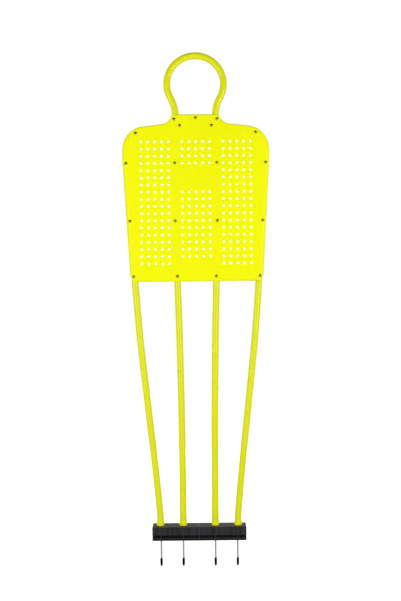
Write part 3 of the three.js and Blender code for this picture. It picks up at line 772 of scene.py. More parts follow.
def perforated_sheet_tree():
    """Fills an outline, front and back, round a grid of holes and the loose points' screw holes.
    It works flat in XY and is then stood up, so that its front looks along -Y."""
    tree, given, keys = new_tree(
        "perforated_sheet",
        {
            GEOMETRY: ["Geometry"],
            FLOAT: [
                "Wall", "Face", "Column Pitch", "Row Pitch", "Grid Width", "Grid Height",
                "Middle Height", "Tube Column", "First Plain Row", "Last Plain Row", "Mouth Radius",
                "Screw Hole Radius", "Boss Radius",
            ],
            INT: ["Columns", "Rows"],
            OBJECT: ["Hole Sleeve", "Screw Sleeve", "Boss Sleeve"],
            MATERIAL: ["Material"],
        },
    )
    boundary = add_node(tree, "GeometryNodeMeshToCurve", {"Mesh": given["Geometry"]}).outputs["Curve"]
    size = {"Size X": given["Grid Width"], "Size Y": given["Grid Height"]}
    count = {"Vertices X": given["Columns"], "Vertices Y": given["Rows"]}
    grid = add_node(tree, "GeometryNodeMeshGrid", {**size, **count})
    open_grid = add_node(
        tree,
        "GeometryNodeDeleteGeometry",
        {"Geometry": grid.outputs["Mesh"], "Selection": plain_places(tree, given)},
        domain="POINT",
    )
    lift = add_node(tree, "ShaderNodeCombineXYZ", {"Y": given["Middle Height"]}).outputs["Vector"]
    holes = add_node(
        tree, "GeometryNodeTransform", {"Geometry": open_grid.outputs["Geometry"], "Translation": lift}
    )
    neighbours = add_node(tree, "GeometryNodeInputMeshVertexNeighbors").outputs["Vertex Count"]
    loose = add_node(
        tree, "FunctionNodeCompare", {"A_INT": neighbours, "B_INT": 0}, data_type="INT", operation="EQUAL"
    ).outputs["Result"]
    screws = add_node(
        tree, "GeometryNodeMeshToPoints", {"Mesh": given["Geometry"], "Selection": loose}
    ).outputs["Points"]
    boss = add_node(
        tree, "GeometryNodeInputNamedAttribute", {"Name": "boss"}, data_type="BOOLEAN"
    ).outputs["Attribute"]
    no_boss = add_node(tree, "FunctionNodeBooleanMath", {"Boolean": boss}, operation="NOT").outputs["Boolean"]

    sleeves, front_rims, back_rims = [], [boundary], [boundary]
    for label, points, chosen, front, back, sides in (
        ("Hole Sleeve", holes.outputs["Geometry"], None, "Mouth Radius", "Mouth Radius", HOLE_SIDES),
        ("Screw Sleeve", screws, no_boss, "Screw Hole Radius", "Screw Hole Radius", HOLE_SIDES),
        ("Boss Sleeve", screws, boss, "Screw Hole Radius", "Boss Radius", BOSS_SIDES),
    ):
        some = {} if chosen is None else {"Selection": chosen}
        sleeve = add_node(tree, "GeometryNodeObjectInfo", {"Object": given[label]}).outputs["Geometry"]
        sleeves.append(
            add_node(tree, "GeometryNodeInstanceOnPoints", {"Points": points, "Instance": sleeve, **some})
        )
        for rims, radius in ((front_rims, front), (back_rims, back)):
            circle = add_node(
                tree, "GeometryNodeCurvePrimitiveCircle", {"Resolution": sides, "Radius": given[radius]}
            )
            round_rim = {"Points": points, "Instance": circle.outputs["Curve"], **some}
            placed = add_node(tree, "GeometryNodeInstanceOnPoints", round_rim)
            whole = add_node(
                tree, "GeometryNodeRealizeInstances", {"Geometry": placed.outputs["Instances"]}
            )
            rims.append(whole.outputs["Geometry"])

    into_wall = add_node(
        tree, "ShaderNodeMath", {"Value": given["Wall"], "Value_001": -1}, operation="MULTIPLY"
    ).outputs[0]
    back_place = add_node(tree, "ShaderNodeCombineXYZ", {"Z": into_wall}).outputs["Vector"]
    parts = [node.outputs["Instances"] for node in sleeves]
    for rims, translation in ((front_rims, (0, 0, 0)), (back_rims, back_place)):
        edges = add_node(tree, "GeometryNodeJoinGeometry")
        for rim in rims:
            tree.links.new(rim, edges.inputs["Geometry"])
        sheet = add_node(
            tree, "GeometryNodeFillCurve", {"Curve": edges.outputs["Geometry"]}, mode="TRIANGLES"
        )
        flat = add_node(
            tree, "GeometryNodeSetShadeSmooth", {"Geometry": sheet.outputs["Mesh"], "Shade Smooth": False}
        )
        moved = add_node(
            tree, "GeometryNodeTransform", {"Geometry": flat.outputs["Geometry"], "Translation": translation}
        )
        parts.append(moved.outputs["Geometry"])
    both = add_node(tree, "GeometryNodeJoinGeometry")
    for part in parts:
        tree.links.new(part, both.inputs["Geometry"])
    front_place = add_node(tree, "ShaderNodeCombineXYZ", {"Y": given["Face"]}).outputs["Vector"]
    stood = add_node(
        tree,
        "GeometryNodeTransform",
        {"Geometry": both.outputs["Geometry"], "Rotation": (QUARTER, 0, 0), "Translation": front_place},
    )
    close_tree(tree, stood.outputs["Geometry"], given["Material"])
    return tree, keys


def sleeve_blank(name, profile, sides):
    """The wall of a hole, as (radius, depth) from the front. It has no ends."""
    bm = bmesh.new()
    skin(bm, [ring(radius, -depth, sides) for radius, depth in profile])
    for face in bm.faces:
        face.smooth = True
    return new_object(name, bm)


def centre_of(node):
    low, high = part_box(node)
    return (low + high) / 2


screw_nodes = sorted(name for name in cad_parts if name.startswith("screw_"))
nut_nodes = sorted(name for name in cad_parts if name.startswith("nut_"))
brace_screws = [n for n in screw_nodes if "neck" in n or "collarbone" in n]
tube_screws = [n for n in screw_nodes if n not in brace_screws]


def front_panel():
    """Moulded panel: rolled rim, flat perforated sheet, screw holes and the neck's pillar."""
    outline = panel_outline()
    rim = panel_rim(outline)
    flat = bmesh.new()
    marks = flat.verts.layers.bool.new("boss")
    edge = []
    for place, out, wrap in outline:
        inner = place - out * (lerp(EDGE_ROLL, SIDE_ROLL, wrap) + FLAT_MARGIN)
        edge.append(flat.verts.new((inner.x, inner.y, 0)))
    for i, vert in enumerate(edge):
        flat.edges.new((vert, edge[(i + 1) % len(edge)]))
    for node in screw_nodes:
        centre = centre_of(node)
        vert = flat.verts.new((centre.x, centre.z, 0))
        vert[marks] = node == "screw_neck_centre"
    sheet = new_object("front_panel", flat)
    mouth = HOLE_DIAMETER / 2 + HOLE_EDGE
    bore = HOLE_DIAMETER / 2
    thread_way = SCREW_HOLE / 2
    pillar = BOSS_DIAMETER / 2
    pillar_end = -FACE + TUBE_RADIUS
    hole_sleeve = sleeve_blank(
        "hole_sleeve",
        [(mouth, 0), (bore, HOLE_EDGE), (bore, WALL - HOLE_EDGE), (mouth, WALL)],
        HOLE_SIDES,
    )
    screw_sleeve = sleeve_blank("screw_sleeve", [(thread_way, 0), (thread_way, WALL)], HOLE_SIDES)
    boss_sleeve = sleeve_blank(
        "boss_sleeve",
        [
            (thread_way, 0),
            (thread_way, pillar_end),
            (pillar - HOLE_EDGE, pillar_end),
            (pillar, pillar_end - HOLE_EDGE),
            (pillar, WALL),
        ],
        BOSS_SIDES,
    )
    tree, keys = perforated_sheet_tree()
    run_tree(
        sheet,
        tree,
        keys,
        {
            "Wall": WALL,
            "Face": FACE,
            "Column Pitch": COLUMN_PITCH,
            "Row Pitch": ROW_PITCH,
            "Columns": COLUMNS,
            "Rows": ROWS,
            "Grid Width": (COLUMNS - 1) * COLUMN_PITCH,
            "Grid Height": (ROWS - 1) * ROW_PITCH,
            "Middle Height": NECK - TOP_ROW_DROP - (ROWS - 1) * ROW_PITCH / 2,
            "Tube Column": float(TUBE_COLUMN),
            "First Plain Row": float(PLAIN_ROWS[0]),
            "Last Plain Row": float(PLAIN_ROWS[1]),
            "Mouth Radius": mouth,
            "Screw Hole Radius": thread_way,
            "Boss Radius": pillar,
            "Hole Sleeve": hole_sleeve,
            "Screw Sleeve": screw_sleeve,
            "Boss Sleeve": boss_sleeve,
            "Material": polyethylene,
        },
    )
    for blank in (hole_sleeve, screw_sleeve, boss_sleeve):
        bpy.data.objects.remove(blank)
    filled = bmesh.new()
    filled.from_mesh(sheet.data)
    whole = tidy(joined([filled, rim]), smooth=False)
    whole.to_mesh(sheet.data)
    whole.free()
    return finish_piece(sheet, polyethylene, "frame", "panel_plastic", ["front_shell"])


# Bent tubes


def spline(points, steps=12):
    """A smooth curve through points, with each end's tangent set by its own two points."""
    found = []
    last = len(points) - 1
    for i in range(last):
        before, start = points[max(i - 1, 0)], points[i]
        end, after = points[i + 1], points[min(i + 2, last)]
        leave, arrive = (end - before) / 2, (after - start) / 2
        for step in range(steps):
            t = step / steps
            cubic = (2 * start - 2 * end + leave + arrive) * t**3
            square = (3 * end - 3 * start - 2 * leave - arrive) * t**2
            found.append(cubic + square + leave * t + start)
    return found + [points[-1]]


def leg_points(foot, hem, shares):
    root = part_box("leg_collar_outer_left")[1].z
    return [
        Vector((lerp(foot, hem, spread), lerp(root, HEM, height)))
        for height, spread in ((0, 0), *shares, (1, 1))
    ]


def arc_path(centre, radius, start, end, steps):
    angles = (lerp(start, end, i / steps) for i in range(steps + 1))
    return [centre + radius * Vector((math.cos(a), math.sin(a))) for a in angles]


def outer_leg_path():
    foot = centre_of("leg_collar_outer_right").x
    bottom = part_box("leg_outer_right")[0].z
    spread = spline(leg_points(foot, outer_hem(), OUTER_SHARES))
    chest = Vector((CHEST_HALF - SIDE_TUBE_INSET, NECK - CHEST_DROP))
    radius = SHOULDER_RADIUS - SIDE_TUBE_INSET
    bend = arc_path(shoulder_arcs()[0], radius, 0, QUARTER - SHOULDER_SLOPE, BEND_STEPS * 3 // 2)
    return [Vector((foot, bottom)), *spread, chest, *bend]


def inner_leg_path():
    foot = centre_of("leg_collar_inner_right").x
    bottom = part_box("leg_inner_right")[0].z
    straight = Vector((NECK_TUBE, HEM + STRAIGHT_RISE))
    spread = spline([*leg_points(foot, INNER_HEM, INNER_SHARES), straight])
    return [Vector((foot, bottom)), *spread, Vector((NECK_TUBE, loop_low.z - FIT_GAP))]


def loop_path():
    centre = Vector((0, NECK + LOOP_RISE))
    reverse_radius = (LOOP_RADIUS * math.cos(LOOP_NECK) - NECK_TUBE) / (1 - math.cos(LOOP_NECK))
    reverse = Vector(
        (NECK_TUBE + reverse_radius, centre.y - (LOOP_RADIUS + reverse_radius) * math.sin(LOOP_NECK))
    )
    mirrored = Vector((-reverse.x, reverse.y))
    start = Vector((-NECK_TUBE, loop_low.z))
    path = [start, *arc_path(mirrored, reverse_radius, 0, LOOP_NECK, BEND_STEPS)]
    path += arc_path(centre, LOOP_RADIUS, math.pi + LOOP_NECK, -LOOP_NECK, LOOP_STEPS)
    path += arc_path(reverse, reverse_radius, math.pi - LOOP_NECK, math.pi, BEND_STEPS)
    return [*path, Vector((NECK_TUBE, loop_low.z))]


def tube_ring(place, way, radius):
    """A ring of a tube in the frame's plane, square to the way it runs."""
    across = Vector((way.y, -way.x))
    points = []
    for i in range(TUBE_SIDES):
        angle = 2 * math.pi * i / TUBE_SIDES
        spot = place + across * radius * math.cos(angle)
        points.append(Vector((spot.x, radius * math.sin(angle), spot.y)))
    return points


def bent_tube(path, spigot=False):
    """A hollow tube along a path, with a slimmer spigot on its end if it plugs into another."""
    kept = [path[0]]
    for place in path[1:]:
        if (place - kept[-1]).length > RING_SPACING:
            kept.append(place)
    stations = []
    for i, place in enumerate(kept):
        before, after = kept[max(i - 1, 0)], kept[min(i + 1, len(kept) - 1)]
        way = (after - before).normalized()
        stations.append((place, way))
    outside = [(place, way, TUBE_RADIUS) for place, way in stations]
    inside = [(place, way, TUBE_BORE) for place, way in stations]
    if spigot:
        top, way = stations[-1]
        tip = top + way * SPIGOT_LENGTH
        outside += [(top, way, SPIGOT_RADIUS), (tip, way, SPIGOT_RADIUS)]
        inside[-1] = (top - way * BORE_TAPER_START, way, TUBE_BORE)
        inside += [(top - way * BORE_TAPER_END, way, SPIGOT_BORE), (tip, way, SPIGOT_BORE)]
    bm = bmesh.new()
    rings = [tube_ring(*station) for station in outside + inside[::-1]]
    skin(bm, rings, loop_back=True)
    return bm


def drill(obj, names):
    """Drills a piece through, front to back, for the screws named."""
    bars = []
    for name in names:
        centre = centre_of(name)
        reach = PANEL_DEPTH
        bars.append(rod(SCREW_HOLE / 2, (centre.x, -reach, centre.z), (centre.x, reach, centre.z)))
    carve(obj, joined(bars))


def frame_tubes():
    """Two outer legs, two inner legs and the head loop."""
    mirror = Matrix.Scale(-1, 4, (1, 0, 0))
    for label, path, spigot, rows in (
        ("outer", outer_leg_path(), False, ("shoulder", "chest_outer", "waist_outer", "hem_outer")),
        ("inner", inner_leg_path(), True, ("chest_inner", "waist_inner", "hem_inner")),
    ):
        for side in SIDES:
            bm = bent_tube(path, spigot)
            if side == "left":
                bm.transform(mirror)
            leg = new_object(f"{label}_leg_{side}", tidy(bm))
            drill(leg, [f"screw_{row}_{side}" for row in rows])
            finish_piece(leg, coated_steel, "frame", "tube_coating", [f"leg_{label}_{side}"])
    loop = new_object("head_hoop", tidy(bent_tube(loop_path())))
    drill(loop, ["screw_neck_left", "screw_neck_right"])
    finish_piece(loop, coated_steel, "frame", "tube_coating", ["head_loop"])


# Screws and nuts


def cross_recess(width, depth):
    """A tapered cross-shaped punch that points down from zero."""
    core_share, tip_share = 1 / 7, 0.45
    arm, core = width / 2, width * core_share
    corners = []
    for quarter in range(4):
        turn = Matrix.Rotation(quarter * QUARTER, 2)
        for point in ((arm, -core), (arm, core), (core, core)):
            corners.append(turn @ Vector(point))
    above = [Vector((p.x, p.y, depth / 2)) for p in corners]
    tip = [Vector((p.x * tip_share, p.y * tip_share, -depth)) for p in corners]
    bm = bmesh.new()
    for row in skin(bm, [above, tip]):
        bm.faces.new(row)
    return bm


def screw_blank(name, head, head_height, shank, length):
    """A pan-head screw with a cross recess: its seat at zero, its head up and its shank down."""
    rim_share, lead_share, recess_width_share, recess_depth_share = 0.16, 0.12, 0.56, 0.62
    steps = 9
    radius, rim = head / 2, head_height * rim_share
    edge = 0.1 * MM
    crown = head_height - rim
    sphere = (radius * radius + crown * crown) / (2 * crown)
    dome = []
    for i in range(1, steps):
        reach = radius * i / steps
        dome.append((reach, head_height - sphere + math.sqrt(sphere * sphere - reach * reach)))
    lead = shank * lead_share
    profile = [
        (shank / 2 - lead, -length),
        (shank / 2, lead - length),
        (shank / 2, 0),
        (radius - edge, 0),
        (radius, 1.5 * edge),
        (radius, rim),
        *reversed(dome),
    ]
    blank = new_object(name, tidy(turn_up(profile, ROUND_SIDES)))
    punch = cross_recess(head * recess_width_share, head_height * recess_depth_share)
    punch.transform(Matrix.Translation((0, 0, head_height)))
    carve(blank, punch)
    return blank


def nut_blank(name, flats, height, bore):
    """A hexagon nut with chamfered corners, its seat at zero."""
    chamfer_share, slope_share, sides = 0.6, 0.6, 36
    corner = flats / math.sqrt(3)
    chamfer = (corner - flats / 2) * chamfer_share
    fall = chamfer * slope_share
    blank = new_object(name, tidy(turn_up([(corner, 0), (corner, height)], 6)))
    turned = [(corner - chamfer, 0), (corner, fall), (corner, height - fall), (corner - chamfer, height)]
    # A hair wider than the hexagon, so that the flats' corners stay whole between the chamfers
    turned = [(radius + 2 * WELD, place) for radius, place in turned]
    carve(blank, turn_up(turned, sides), operation="INTERSECT")
    carve(blank, rod(bore / 2, (0, 0, -OVERRUN), (0, 0, height + OVERRUN)))
    return blank


def set_out_tree():
    """Sets copies of a blank out on points. Each is turned about its own axis as it happened to
    be tightened, and then laid over to face the way the points ask."""
    tree, given, keys = new_tree(
        "set_out",
        {
            GEOMETRY: ["Geometry"],
            OBJECT: ["Blank"],
            FLOAT: ["Largest Turn"],
            INT: ["Seed"],
            ROTATION: ["Lay"],
            MATERIAL: ["Material"],
        },
    )
    blank = add_node(tree, "GeometryNodeObjectInfo", {"Object": given["Blank"]}).outputs["Geometry"]
    range_of_turns = {"Max_001": given["Largest Turn"], "Seed": given["Seed"]}
    angle = add_node(tree, "FunctionNodeRandomValue", range_of_turns, data_type="FLOAT").outputs[1]
    spin = add_node(tree, "FunctionNodeAxisAngleToRotation", {"Axis": (0, 0, 1), "Angle": angle})
    laid = add_node(
        tree,
        "FunctionNodeRotateRotation",
        {"Rotation": given["Lay"], "Rotate By": spin.outputs["Rotation"]},
        rotation_space="LOCAL",
    )
    copies = add_node(
        tree,
        "GeometryNodeInstanceOnPoints",
        {"Points": given["Geometry"], "Instance": blank, "Rotation": laid.outputs["Rotation"]},
    )
    close_tree(tree, copies.outputs["Instances"], given["Material"])
    return tree, keys


setting_out, setting_keys = set_out_tree()
TO_THE_FRONT = (QUARTER, 0, 0)
TO_THE_BACK = (-QUARTER, 0, 0)
UPRIGHT = (0, 0, 0)


def set_out(name, blank, places, lay, largest_turn, seed, finish):
    """Copies a blank to places and seats the copies as one piece. The finish names its material,
    body, slot and nodes; the slot is not used."""
    bm = bmesh.new()
    for place in places:
        bm.verts.new(place)
    copies = new_object(name, bm)
    values = {"Blank": blank, "Largest Turn": largest_turn, "Seed": seed, "Lay": lay, "Material": finish[0]}
    run_tree(copies, setting_out, setting_keys, values)
    bpy.data.objects.remove(blank)
    return finish_piece(copies, *finish)


def fasteners():
    """Panel screws on the tubes and on the neck's brace, their nuts, and the base's one screw."""
    for name, nodes, seed in (("tube_screws", tube_screws, 3), ("brace_screws", brace_screws, 8)):
        low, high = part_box(nodes[0])
        seat = FACE - FIT_GAP
        blank = screw_blank(
            name + "_blank", high.x - low.x, seat - low.y, TUBE_SCREW_SHANK, high.y - seat
        )
        places = [Vector((centre_of(n).x, seat, centre_of(n).z)) for n in nodes]
        finish = (zinc, "frame", "fastener_steel", nodes)
        set_out(name, blank, places, TO_THE_FRONT, QUARTER, seed, finish)
    low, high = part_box(nut_nodes[0])
    blank = nut_blank("nut_blank", NUT_FLATS, high.y - low.y, NUT_BORE)
    places = [Vector((centre_of(n).x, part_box(n)[0].y, centre_of(n).z)) for n in nut_nodes]
    finish = (zinc, "frame", "fastener_steel", nut_nodes)
    set_out("lock_nuts", blank, places, TO_THE_BACK, QUARTER, 5, finish)
    low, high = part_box("base_screw")
    seat = rubber_high.z + FIT_GAP
    blank = screw_blank(
        "base_screw_blank", high.x - low.x, high.z - seat, BASE_SCREW_SHANK, seat - low.z
    )
    finish = (bright_zinc, "base", "fastener_steel", ["base_screw"])
    set_out("anchor_screw", blank, [Vector((0, 0, seat))], UPRIGHT, QUARTER, 2, finish)


# Neck brace


def brace_plate():
    """A flat plate with round corners and eased edges behind the neck."""
    corner, ease, steps = 8 * MM, 0.5 * MM, 8
    middle = (brace_low + brace_high) / 2
    half_x, half_z = (brace_high.x - brace_low.x) / 2, (brace_high.z - brace_low.z) / 2
    front, back = brace_low.y, brace_high.y
    rings = []
    for inset, y in ((ease, front), (0, front + ease), (0, back - ease), (ease, back)):
        points = []
        for quarter, (sx, sz) in enumerate(((1, 1), (-1, 1), (-1, -1), (1, -1))):
            centre = Vector((sx * (half_x - corner), sz * (half_z - corner)))
            start = quarter * QUARTER
            arc = arc_path(centre, corner - inset, start, start + QUARTER, steps)
            points += [Vector((p.x, y, middle.z + p.y)) for p in arc]
        rings.append(points)
    bm = bmesh.new()
    rows = skin(bm, rings)
    bm.faces.new(rows[0])
    bm.faces.new(rows[-1])
    brace = new_object("brace_plate", tidy(bm))
    drill(brace, brace_screws)
    finish_piece(brace, plate_zinc, "frame", "fastener_steel", ["neck_brace"])


# Rubber base


def fin_places():
    """Where thin fins cross the groove over the foot: in the middle and at the spikes."""
    return [0, *(centre_of(f"spike_{foot}").x for foot in FEET)]


def rubber_section(x, inset):
    """Half of the base's section at x, from the middle of its underside up to the middle of its
    top, as (depth, height), drawn in by the inset."""
    full_share, fade_share = 0.4, 0.2
    foot_ease, bead_ease, toe_drop = 0.6 * MM, 0.5 * MM, 0.8 * MM
    roof_drop, roof_slope = 1 * MM, 0.2 * MM
    roof_start_share, roof_end_share = 0.15, 0.9
    flank_steps, edge_steps = 7, 6
    half, top = rubber_high.y, rubber_high.z
    near = min(abs(x - fin) for fin in fin_places())
    fin = 1 - smooth_step((near - FIN_WIDTH * full_share) / (FIN_WIDTH * fade_share))
    foot = half - lerp(RUBBER_FOOT_INSET, FIN_INSET, fin)
    toe = half - lerp(RUBBER_GROOVE, FIN_INSET, fin)
    bead = half - FIN_INSET
    points = [(0, 0), (foot - foot_ease, 0), (foot, foot_ease)]
    points += [(foot, RUBBER_BEAD_LOW - bead_ease), (bead - bead_ease, RUBBER_BEAD_LOW)]
    points += [(bead, RUBBER_BEAD_LOW + bead_ease), (bead, RUBBER_BEAD_HIGH - bead_ease)]
    points += [(bead - bead_ease, RUBBER_BEAD_HIGH), (toe, RUBBER_BEAD_HIGH + bead_ease)]
    roof = RUBBER_TOE - toe_drop
    points += [(toe, roof - roof_drop), (lerp(toe, half, roof_start_share), roof - roof_slope)]
    points += [(lerp(toe, half, roof_end_share), roof), (half, RUBBER_TOE)]
    flank = top - RUBBER_EDGE - RUBBER_TOE
    points += [(half, RUBBER_TOE + flank * i / flank_steps) for i in range(1, flank_steps + 1)]
    edge_y, edge_z = half - RUBBER_EDGE, top - RUBBER_EDGE
    for i in range(1, edge_steps + 1):
        angle = QUARTER * i / edge_steps
        turn = Vector((math.cos(angle), math.sin(angle))) * RUBBER_EDGE
        points.append((edge_y + turn.x, edge_z + turn.y))
    points.append((0, top))
    drawn = []
    for y, z in points:
        lifted = z + inset if z < RUBBER_EDGE else min(z, top - inset)
        drawn.append((max(y - inset, 0), lifted))
    return drawn


def rubber_block():
    """The block: a long bar of that section with rounded ends, closed by ladders of quads."""
    end_steps, bar_steps = 5, 48
    end = rubber_high.x
    run = end - RUBBER_EDGE
    rounded = []
    for i in range(1, end_steps + 1):
        angle = QUARTER * i / end_steps
        rounded.append((end - RUBBER_EDGE * (1 - math.sin(angle)), RUBBER_EDGE * (1 - math.cos(angle))))
    places = {-run + 2 * run * i / bar_steps for i in range(bar_steps + 1)}
    for fin in fin_places():
        places = {x for x in places if abs(x - fin) > FIN_WIDTH}
        places |= {fin + FIN_WIDTH * t for t in FIN_SHARES}
    bars = [(-x, inset) for x, inset in reversed(rounded)]
    bars += [(x, 0) for x in sorted(places)] + rounded
    columns = []
    for x, inset in bars:
        half = rubber_section(x, inset)
        left = [Vector((x, -y, z)) for y, z in reversed(half[1:-1])]
        columns.append([Vector((x, y, z)) for y, z in half] + left)
    bm = bmesh.new()
    rows = skin(bm, columns)
    count = len(columns[0])
    for row in (rows[0], rows[-1]):
        for i in range(count // 2):
            corners = (row[i], row[i + 1], row[count - 1 - i], row[(count - i) % count])
            corners = list(dict.fromkeys(corners))
            if len(corners) > 2:
                bm.faces.new(corners)
    return bm


def rubber_base():
    """The base with its sockets, and the pockets of the plate and the spikes moulded into it."""
    lead_share = 0.3
    base = new_object("rubber_block", tidy(rubber_block()))
    cutters = []
    top = rubber_high.z
    for foot in FEET:
        socket = centre_of(f"leg_collar_{foot}").x
        lead = SOCKET_LEAD * lead_share
        profile = [
            (SOCKET_RADIUS, SOCKET_FLOOR),
            (SOCKET_RADIUS, top - SOCKET_LEAD),
            (SOCKET_RADIUS + lead, top - lead),
            (SOCKET_RADIUS + SOCKET_LEAD, top),
            (SOCKET_RADIUS + SOCKET_LEAD, top + OVERRUN),
        ]
        cutters.append(turn_up(profile, TUBE_SIDES, matrix=Matrix.Translation((socket, 0, 0))))
        spike_low, spike_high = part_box(f"spike_{foot}")
        spike = (spike_low.x + spike_high.x) / 2
        head = (spike_high.x - spike_low.x) / 2 + SPIKE_POCKET_GAP
        shank = SPIKE_RADIUS + SPIKE_POCKET_GAP
        profile = [
            (shank, -OVERRUN),
            (shank, plate_high.z),
            (head, plate_high.z),
            (head, spike_high.z + SPIKE_POCKET_GAP),
        ]
        cutters.append(turn_up(profile, ROUND_SIDES, matrix=Matrix.Translation((spike, 0, 0))))
    carve(base, joined(cutters))
    pocket = bmesh.new()
    bmesh.ops.create_cube(pocket, size=1)
    size = plate_high - plate_low + 2 * Vector((FIT_GAP, FIT_GAP, FIT_GAP))
    middle = (plate_high + plate_low) / 2
    pocket.transform(Matrix.Translation(middle) @ Matrix.Diagonal((*size, 1)))
    carve(base, pocket)
    carve(base, rod(BASE_SCREW_HOLE / 2, (0, 0, plate_low.z), (0, 0, top + OVERRUN)))
    finish_piece(base, rubber, None, "base_rubber", ["rubber_base"])
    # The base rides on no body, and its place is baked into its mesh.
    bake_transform(base)


# Spikes, caps and collars


def at_feet(kind):
    """The nodes of one kind at the four feet, and the places on the ground that they stand over."""
    nodes = [f"{kind}_{foot}" for foot in FEET]
    return nodes, [Vector((centre_of(node).x, 0, 0)) for node in nodes]


def ground_spikes():
    """Four round rods with a flat head and a ground point."""
    tip, tip_share = 0.8 * MM, 0.4
    waist_share, waist_place_share, point_end_share = 0.97, 0.96, 1.05
    low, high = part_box("spike_inner_left")
    seat = plate_high.z + FIT_GAP
    head = (high.x - low.x) / 2
    profile = [
        (tip / 2, low.z),
        (tip, low.z + tip * tip_share),
        (SPIKE_RADIUS * waist_share, low.z + SPIKE_POINT * waist_place_share),
        (SPIKE_RADIUS, low.z + SPIKE_POINT * point_end_share),
        (SPIKE_RADIUS, seat),
        (head - FIT_GAP, seat),
        (head, seat + FIT_GAP),
        (head, high.z - FIT_GAP),
        (head - FIT_GAP, high.z),
    ]
    blank = new_object("spike_blank", tidy(turn_up(profile, ROUND_SIDES)))
    nodes, places = at_feet("spike")
    finish = (spike_steel, "base", "spike_steel", nodes)
    set_out("ground_spikes", blank, places, UPRIGHT, 0.0, 1, finish)


def spike_caps():
    """A bullet-nosed cap over each point, with a rolled mouth. Each pulls off by itself."""
    blunt_share, steps = 0.22, 8
    mouth, groove, groove_depth, ease = 2.4 * MM, 0.8 * MM, 0.3 * MM, 0.2 * MM
    mouth_round, bore_end = 0.5 * MM, 1.1 * MM
    for foot in FEET:
        low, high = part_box(f"spike_cap_{foot}")
        spike_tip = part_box(f"spike_{foot}")[0].z
        radius = (high.x - low.x) / 2
        profile = []
        for i in range(steps + 1):
            angle = QUARTER * i / steps
            reach = radius * lerp(blunt_share, 1, math.sin(angle))
            profile.append((reach, low.z + CAP_NOSE * (1 - math.cos(angle))))
        profile += [
            (radius, high.z - mouth - groove),
            (radius - groove_depth, high.z - mouth - groove + ease),
            (radius - groove_depth, high.z - mouth - ease),
            (radius, high.z - mouth),
            (radius, high.z - 3 * ease),
            (radius - mouth_round, high.z),
            (CAP_BORE + groove_depth, high.z),
            (CAP_BORE, high.z - 2 * ease),
            (CAP_BORE, spike_tip + SPIKE_POINT),
            (bore_end, spike_tip - FIT_GAP),
        ]
        place = Matrix.Translation((centre_of(f"spike_cap_{foot}").x, 0, 0))
        cap = new_object(f"point_cap_{foot}", tidy(turn_up(profile, ROUND_SIDES, matrix=place)))
        finish_piece(cap, black_vinyl, f"cap_{foot}", "cap_rubber", [f"spike_cap_{foot}"])


def leg_collars():
    """Four sleeves with a rolled foot, where the tubes enter the base."""
    foot, slope, step = 3.4 * MM, 0.8 * MM, 0.5 * MM
    shoulder, shoulder_step, shoulder_end = 1.2 * MM, 0.4 * MM, 0.35 * MM
    low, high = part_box("leg_collar_inner_left")
    radius = (high.x - low.x) / 2
    bore = TUBE_RADIUS + FIT_GAP / 2
    profile = [
        (bore, low.z),
        (radius - step, low.z),
        (radius, low.z + step),
        (radius, low.z + foot),
        (radius - step, low.z + foot + slope),
        (radius - step, high.z - shoulder),
        (radius - step - shoulder_step, high.z - shoulder_end),
        (bore + FIT_GAP, high.z),
        (bore, high.z - FIT_GAP),
    ]
    blank = new_object("collar_blank", tidy(turn_up(profile, TUBE_SIDES, closed=True)))
    nodes, places = at_feet("leg_collar")
    finish = (yellow_vinyl, "frame", "collar_plastic", nodes)
    set_out("leg_collars", blank, places, UPRIGHT, 0.0, 1, finish)


front_panel()
frame_tubes()
fasteners()
brace_plate()
rubber_base()
ground_spikes()
spike_caps()
leg_collars()

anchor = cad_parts["anchor_plate"]
anchor.data.materials.clear()
anchor.data.materials.append(plate_zinc)


# Stage


def seen_rays(tree):
    """One on the rays that show the background: to the camera, mirrored, or through glass."""
    rays = add_node(tree, "ShaderNodeLightPath").outputs
    seen = rays["Is Camera Ray"]
    for kind in ("Is Glossy Ray", "Is Transmission Ray"):
        seen = add_node(
            tree, "ShaderNodeMath", {"Value": seen, "Value_001": rays[kind]}, operation="MAXIMUM"
        ).outputs[0]
    return seen, rays["Is Glossy Ray"]


def white_floor():
    """A pale floor that keeps the shadows, low enough for a cap to come off above it."""
    half, clearance, seen_strength = 9.0, 0.2 * MM, 0.9
    level = cad_box[0][2] - CAP_PULL - clearance
    bm = bmesh.new()
    corners = ((-half, -half), (half, -half), (half, half), (-half, half))
    bm.faces.new([bm.verts.new((x, y, level)) for x, y in corners])
    floor = new_object("studio_floor", bm)
    material, tree = new_material("studio_floor")[:2]
    lit = add_node(tree, "ShaderNodeBsdfDiffuse", {"Color": linear("#C4C4C4")})
    shown = {"Value": seen_rays(tree)[0], "Value_001": seen_strength}
    strength = add_node(tree, "ShaderNodeMath", shown, operation="MULTIPLY").outputs[0]
    glow = add_node(tree, "ShaderNodeEmission", {"Color": (1, 1, 1, 1), "Strength": strength})
    both = add_node(tree, "ShaderNodeAddShader", {"Shader": lit.outputs[0], "Shader_001": glow.outputs[0]})
    add_node(tree, "ShaderNodeOutputMaterial", {"Surface": both.outputs[0]})
    floor.data.materials.append(material)


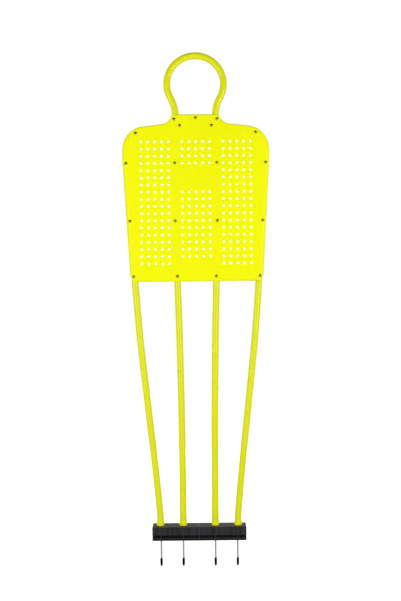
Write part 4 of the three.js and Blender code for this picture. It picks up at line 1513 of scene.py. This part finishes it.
def studio_world():
    """White all round for what is seen, and a soft fill for the rest. What the object mirrors is
    a room that is dark behind the camera and overhead, and pale behind the object."""
    world = bpy.data.worlds.new("studio")
    bpy.context.scene.world = world
    world.use_nodes = True
    tree = world.node_tree
    tree.nodes.clear()
    way = add_node(tree, "ShaderNodeTexCoord").outputs["Generated"]
    parts = add_node(tree, "ShaderNodeSeparateXYZ", {"Vector": way}).outputs
    depth, rise = parts["Y"], parts["Z"]
    levels = {}
    for label, value, start, end, first, last in (
        ("room", depth, -0.2, 0.3, 0.08, 0.7),
        ("ceiling", rise, 0.45, 0.8, 1.0, 0.1),
        ("sweep", depth, -0.1, 0.4, 1.0, 2.4),
        ("overhead", rise, 0.0, 0.8, 0.5, 0.08),
    ):
        levels[label] = add_node(
            tree,
            "ShaderNodeMapRange",
            {"Value": value, "From Min": start, "From Max": end, "To Min": first, "To Max": last},
        ).outputs["Result"]
    mirrored, fill = (
        add_node(
            tree, "ShaderNodeMath", {"Value": levels[one], "Value_001": levels[other]}, operation="MULTIPLY"
        ).outputs[0]
        for one, other in (("ceiling", "room"), ("overhead", "sweep"))
    )
    seen, glossy = seen_rays(tree)
    either = {"Factor_Float": glossy, "A_Float": 1.0, "B_Float": mirrored}
    backdrop = add_node(tree, "ShaderNodeMix", either, data_type="FLOAT")
    either = {"Factor_Float": seen, "A_Float": fill, "B_Float": mixed(backdrop)}
    strength = add_node(tree, "ShaderNodeMix", either, data_type="FLOAT")
    sky = add_node(tree, "ShaderNodeBackground", {"Color": (1, 1, 1, 1), "Strength": mixed(strength)})
    add_node(tree, "ShaderNodeOutputWorld", {"Surface": sky.outputs[0]})


def soft_box(name, place, target, size, power, mirrored=True):
    """A rectangular area lamp that faces a point, and may be kept out of reflections."""
    lamp = bpy.data.lights.new(name, "AREA")
    lamp.shape = "RECTANGLE"
    lamp.size, lamp.size_y = size
    lamp.energy = power
    placed = bpy.data.objects.new(name, lamp)
    bpy.context.scene.collection.objects.link(placed)
    placed.location = place
    placed.rotation_euler = (Vector(target) - Vector(place)).to_track_quat("-Z", "Y").to_euler()
    placed.visible_glossy = mirrored


def photo_camera():
    """Level camera at chest height, as far off as the base's visible top face asks. Its slight
    roll is the mannequin's lean in the picture."""
    place, lean = (0.0122, -3.4, 0.8765), 0.0098
    picture_height, sensor = 601, 36
    focal_pixels = 922.8
    lens = bpy.data.cameras.new("photo_camera")
    lens.sensor_width = sensor
    lens.lens = focal_pixels * sensor / picture_height
    placed = bpy.data.objects.new("photo_camera", lens)
    bpy.context.scene.collection.objects.link(placed)
    placed.location = place
    level = Matrix.Rotation(QUARTER, 3, "X")
    placed.rotation_euler = (Matrix.Rotation(lean, 3, (0, 1, 0)) @ level).to_euler()
    bpy.context.scene.camera = placed


white_floor()
studio_world()
soft_box("key_left", (-1.9, -2.0, 1.05), (0, 0, 1), (0.7, 1.5), 37.5)
soft_box("fill_right", (2.0, -2.4, 1.05), (0, 0, 1), (1.4, 1.5), 40)
soft_box("edge_right", (1.7, -0.35, 1.3), (0.2, 0, 1.25), (0.3, 0.9), 5)
# Kept out of reflections, or it would lie as a haze on the base's top.
soft_box("fill_back", (0.0, 3.0, 0.9), (0, 0, 1), (1.6, 1.6), 34, mirrored=False)
photo_camera()
bpy.context.scene.view_settings.view_transform = "Standard"
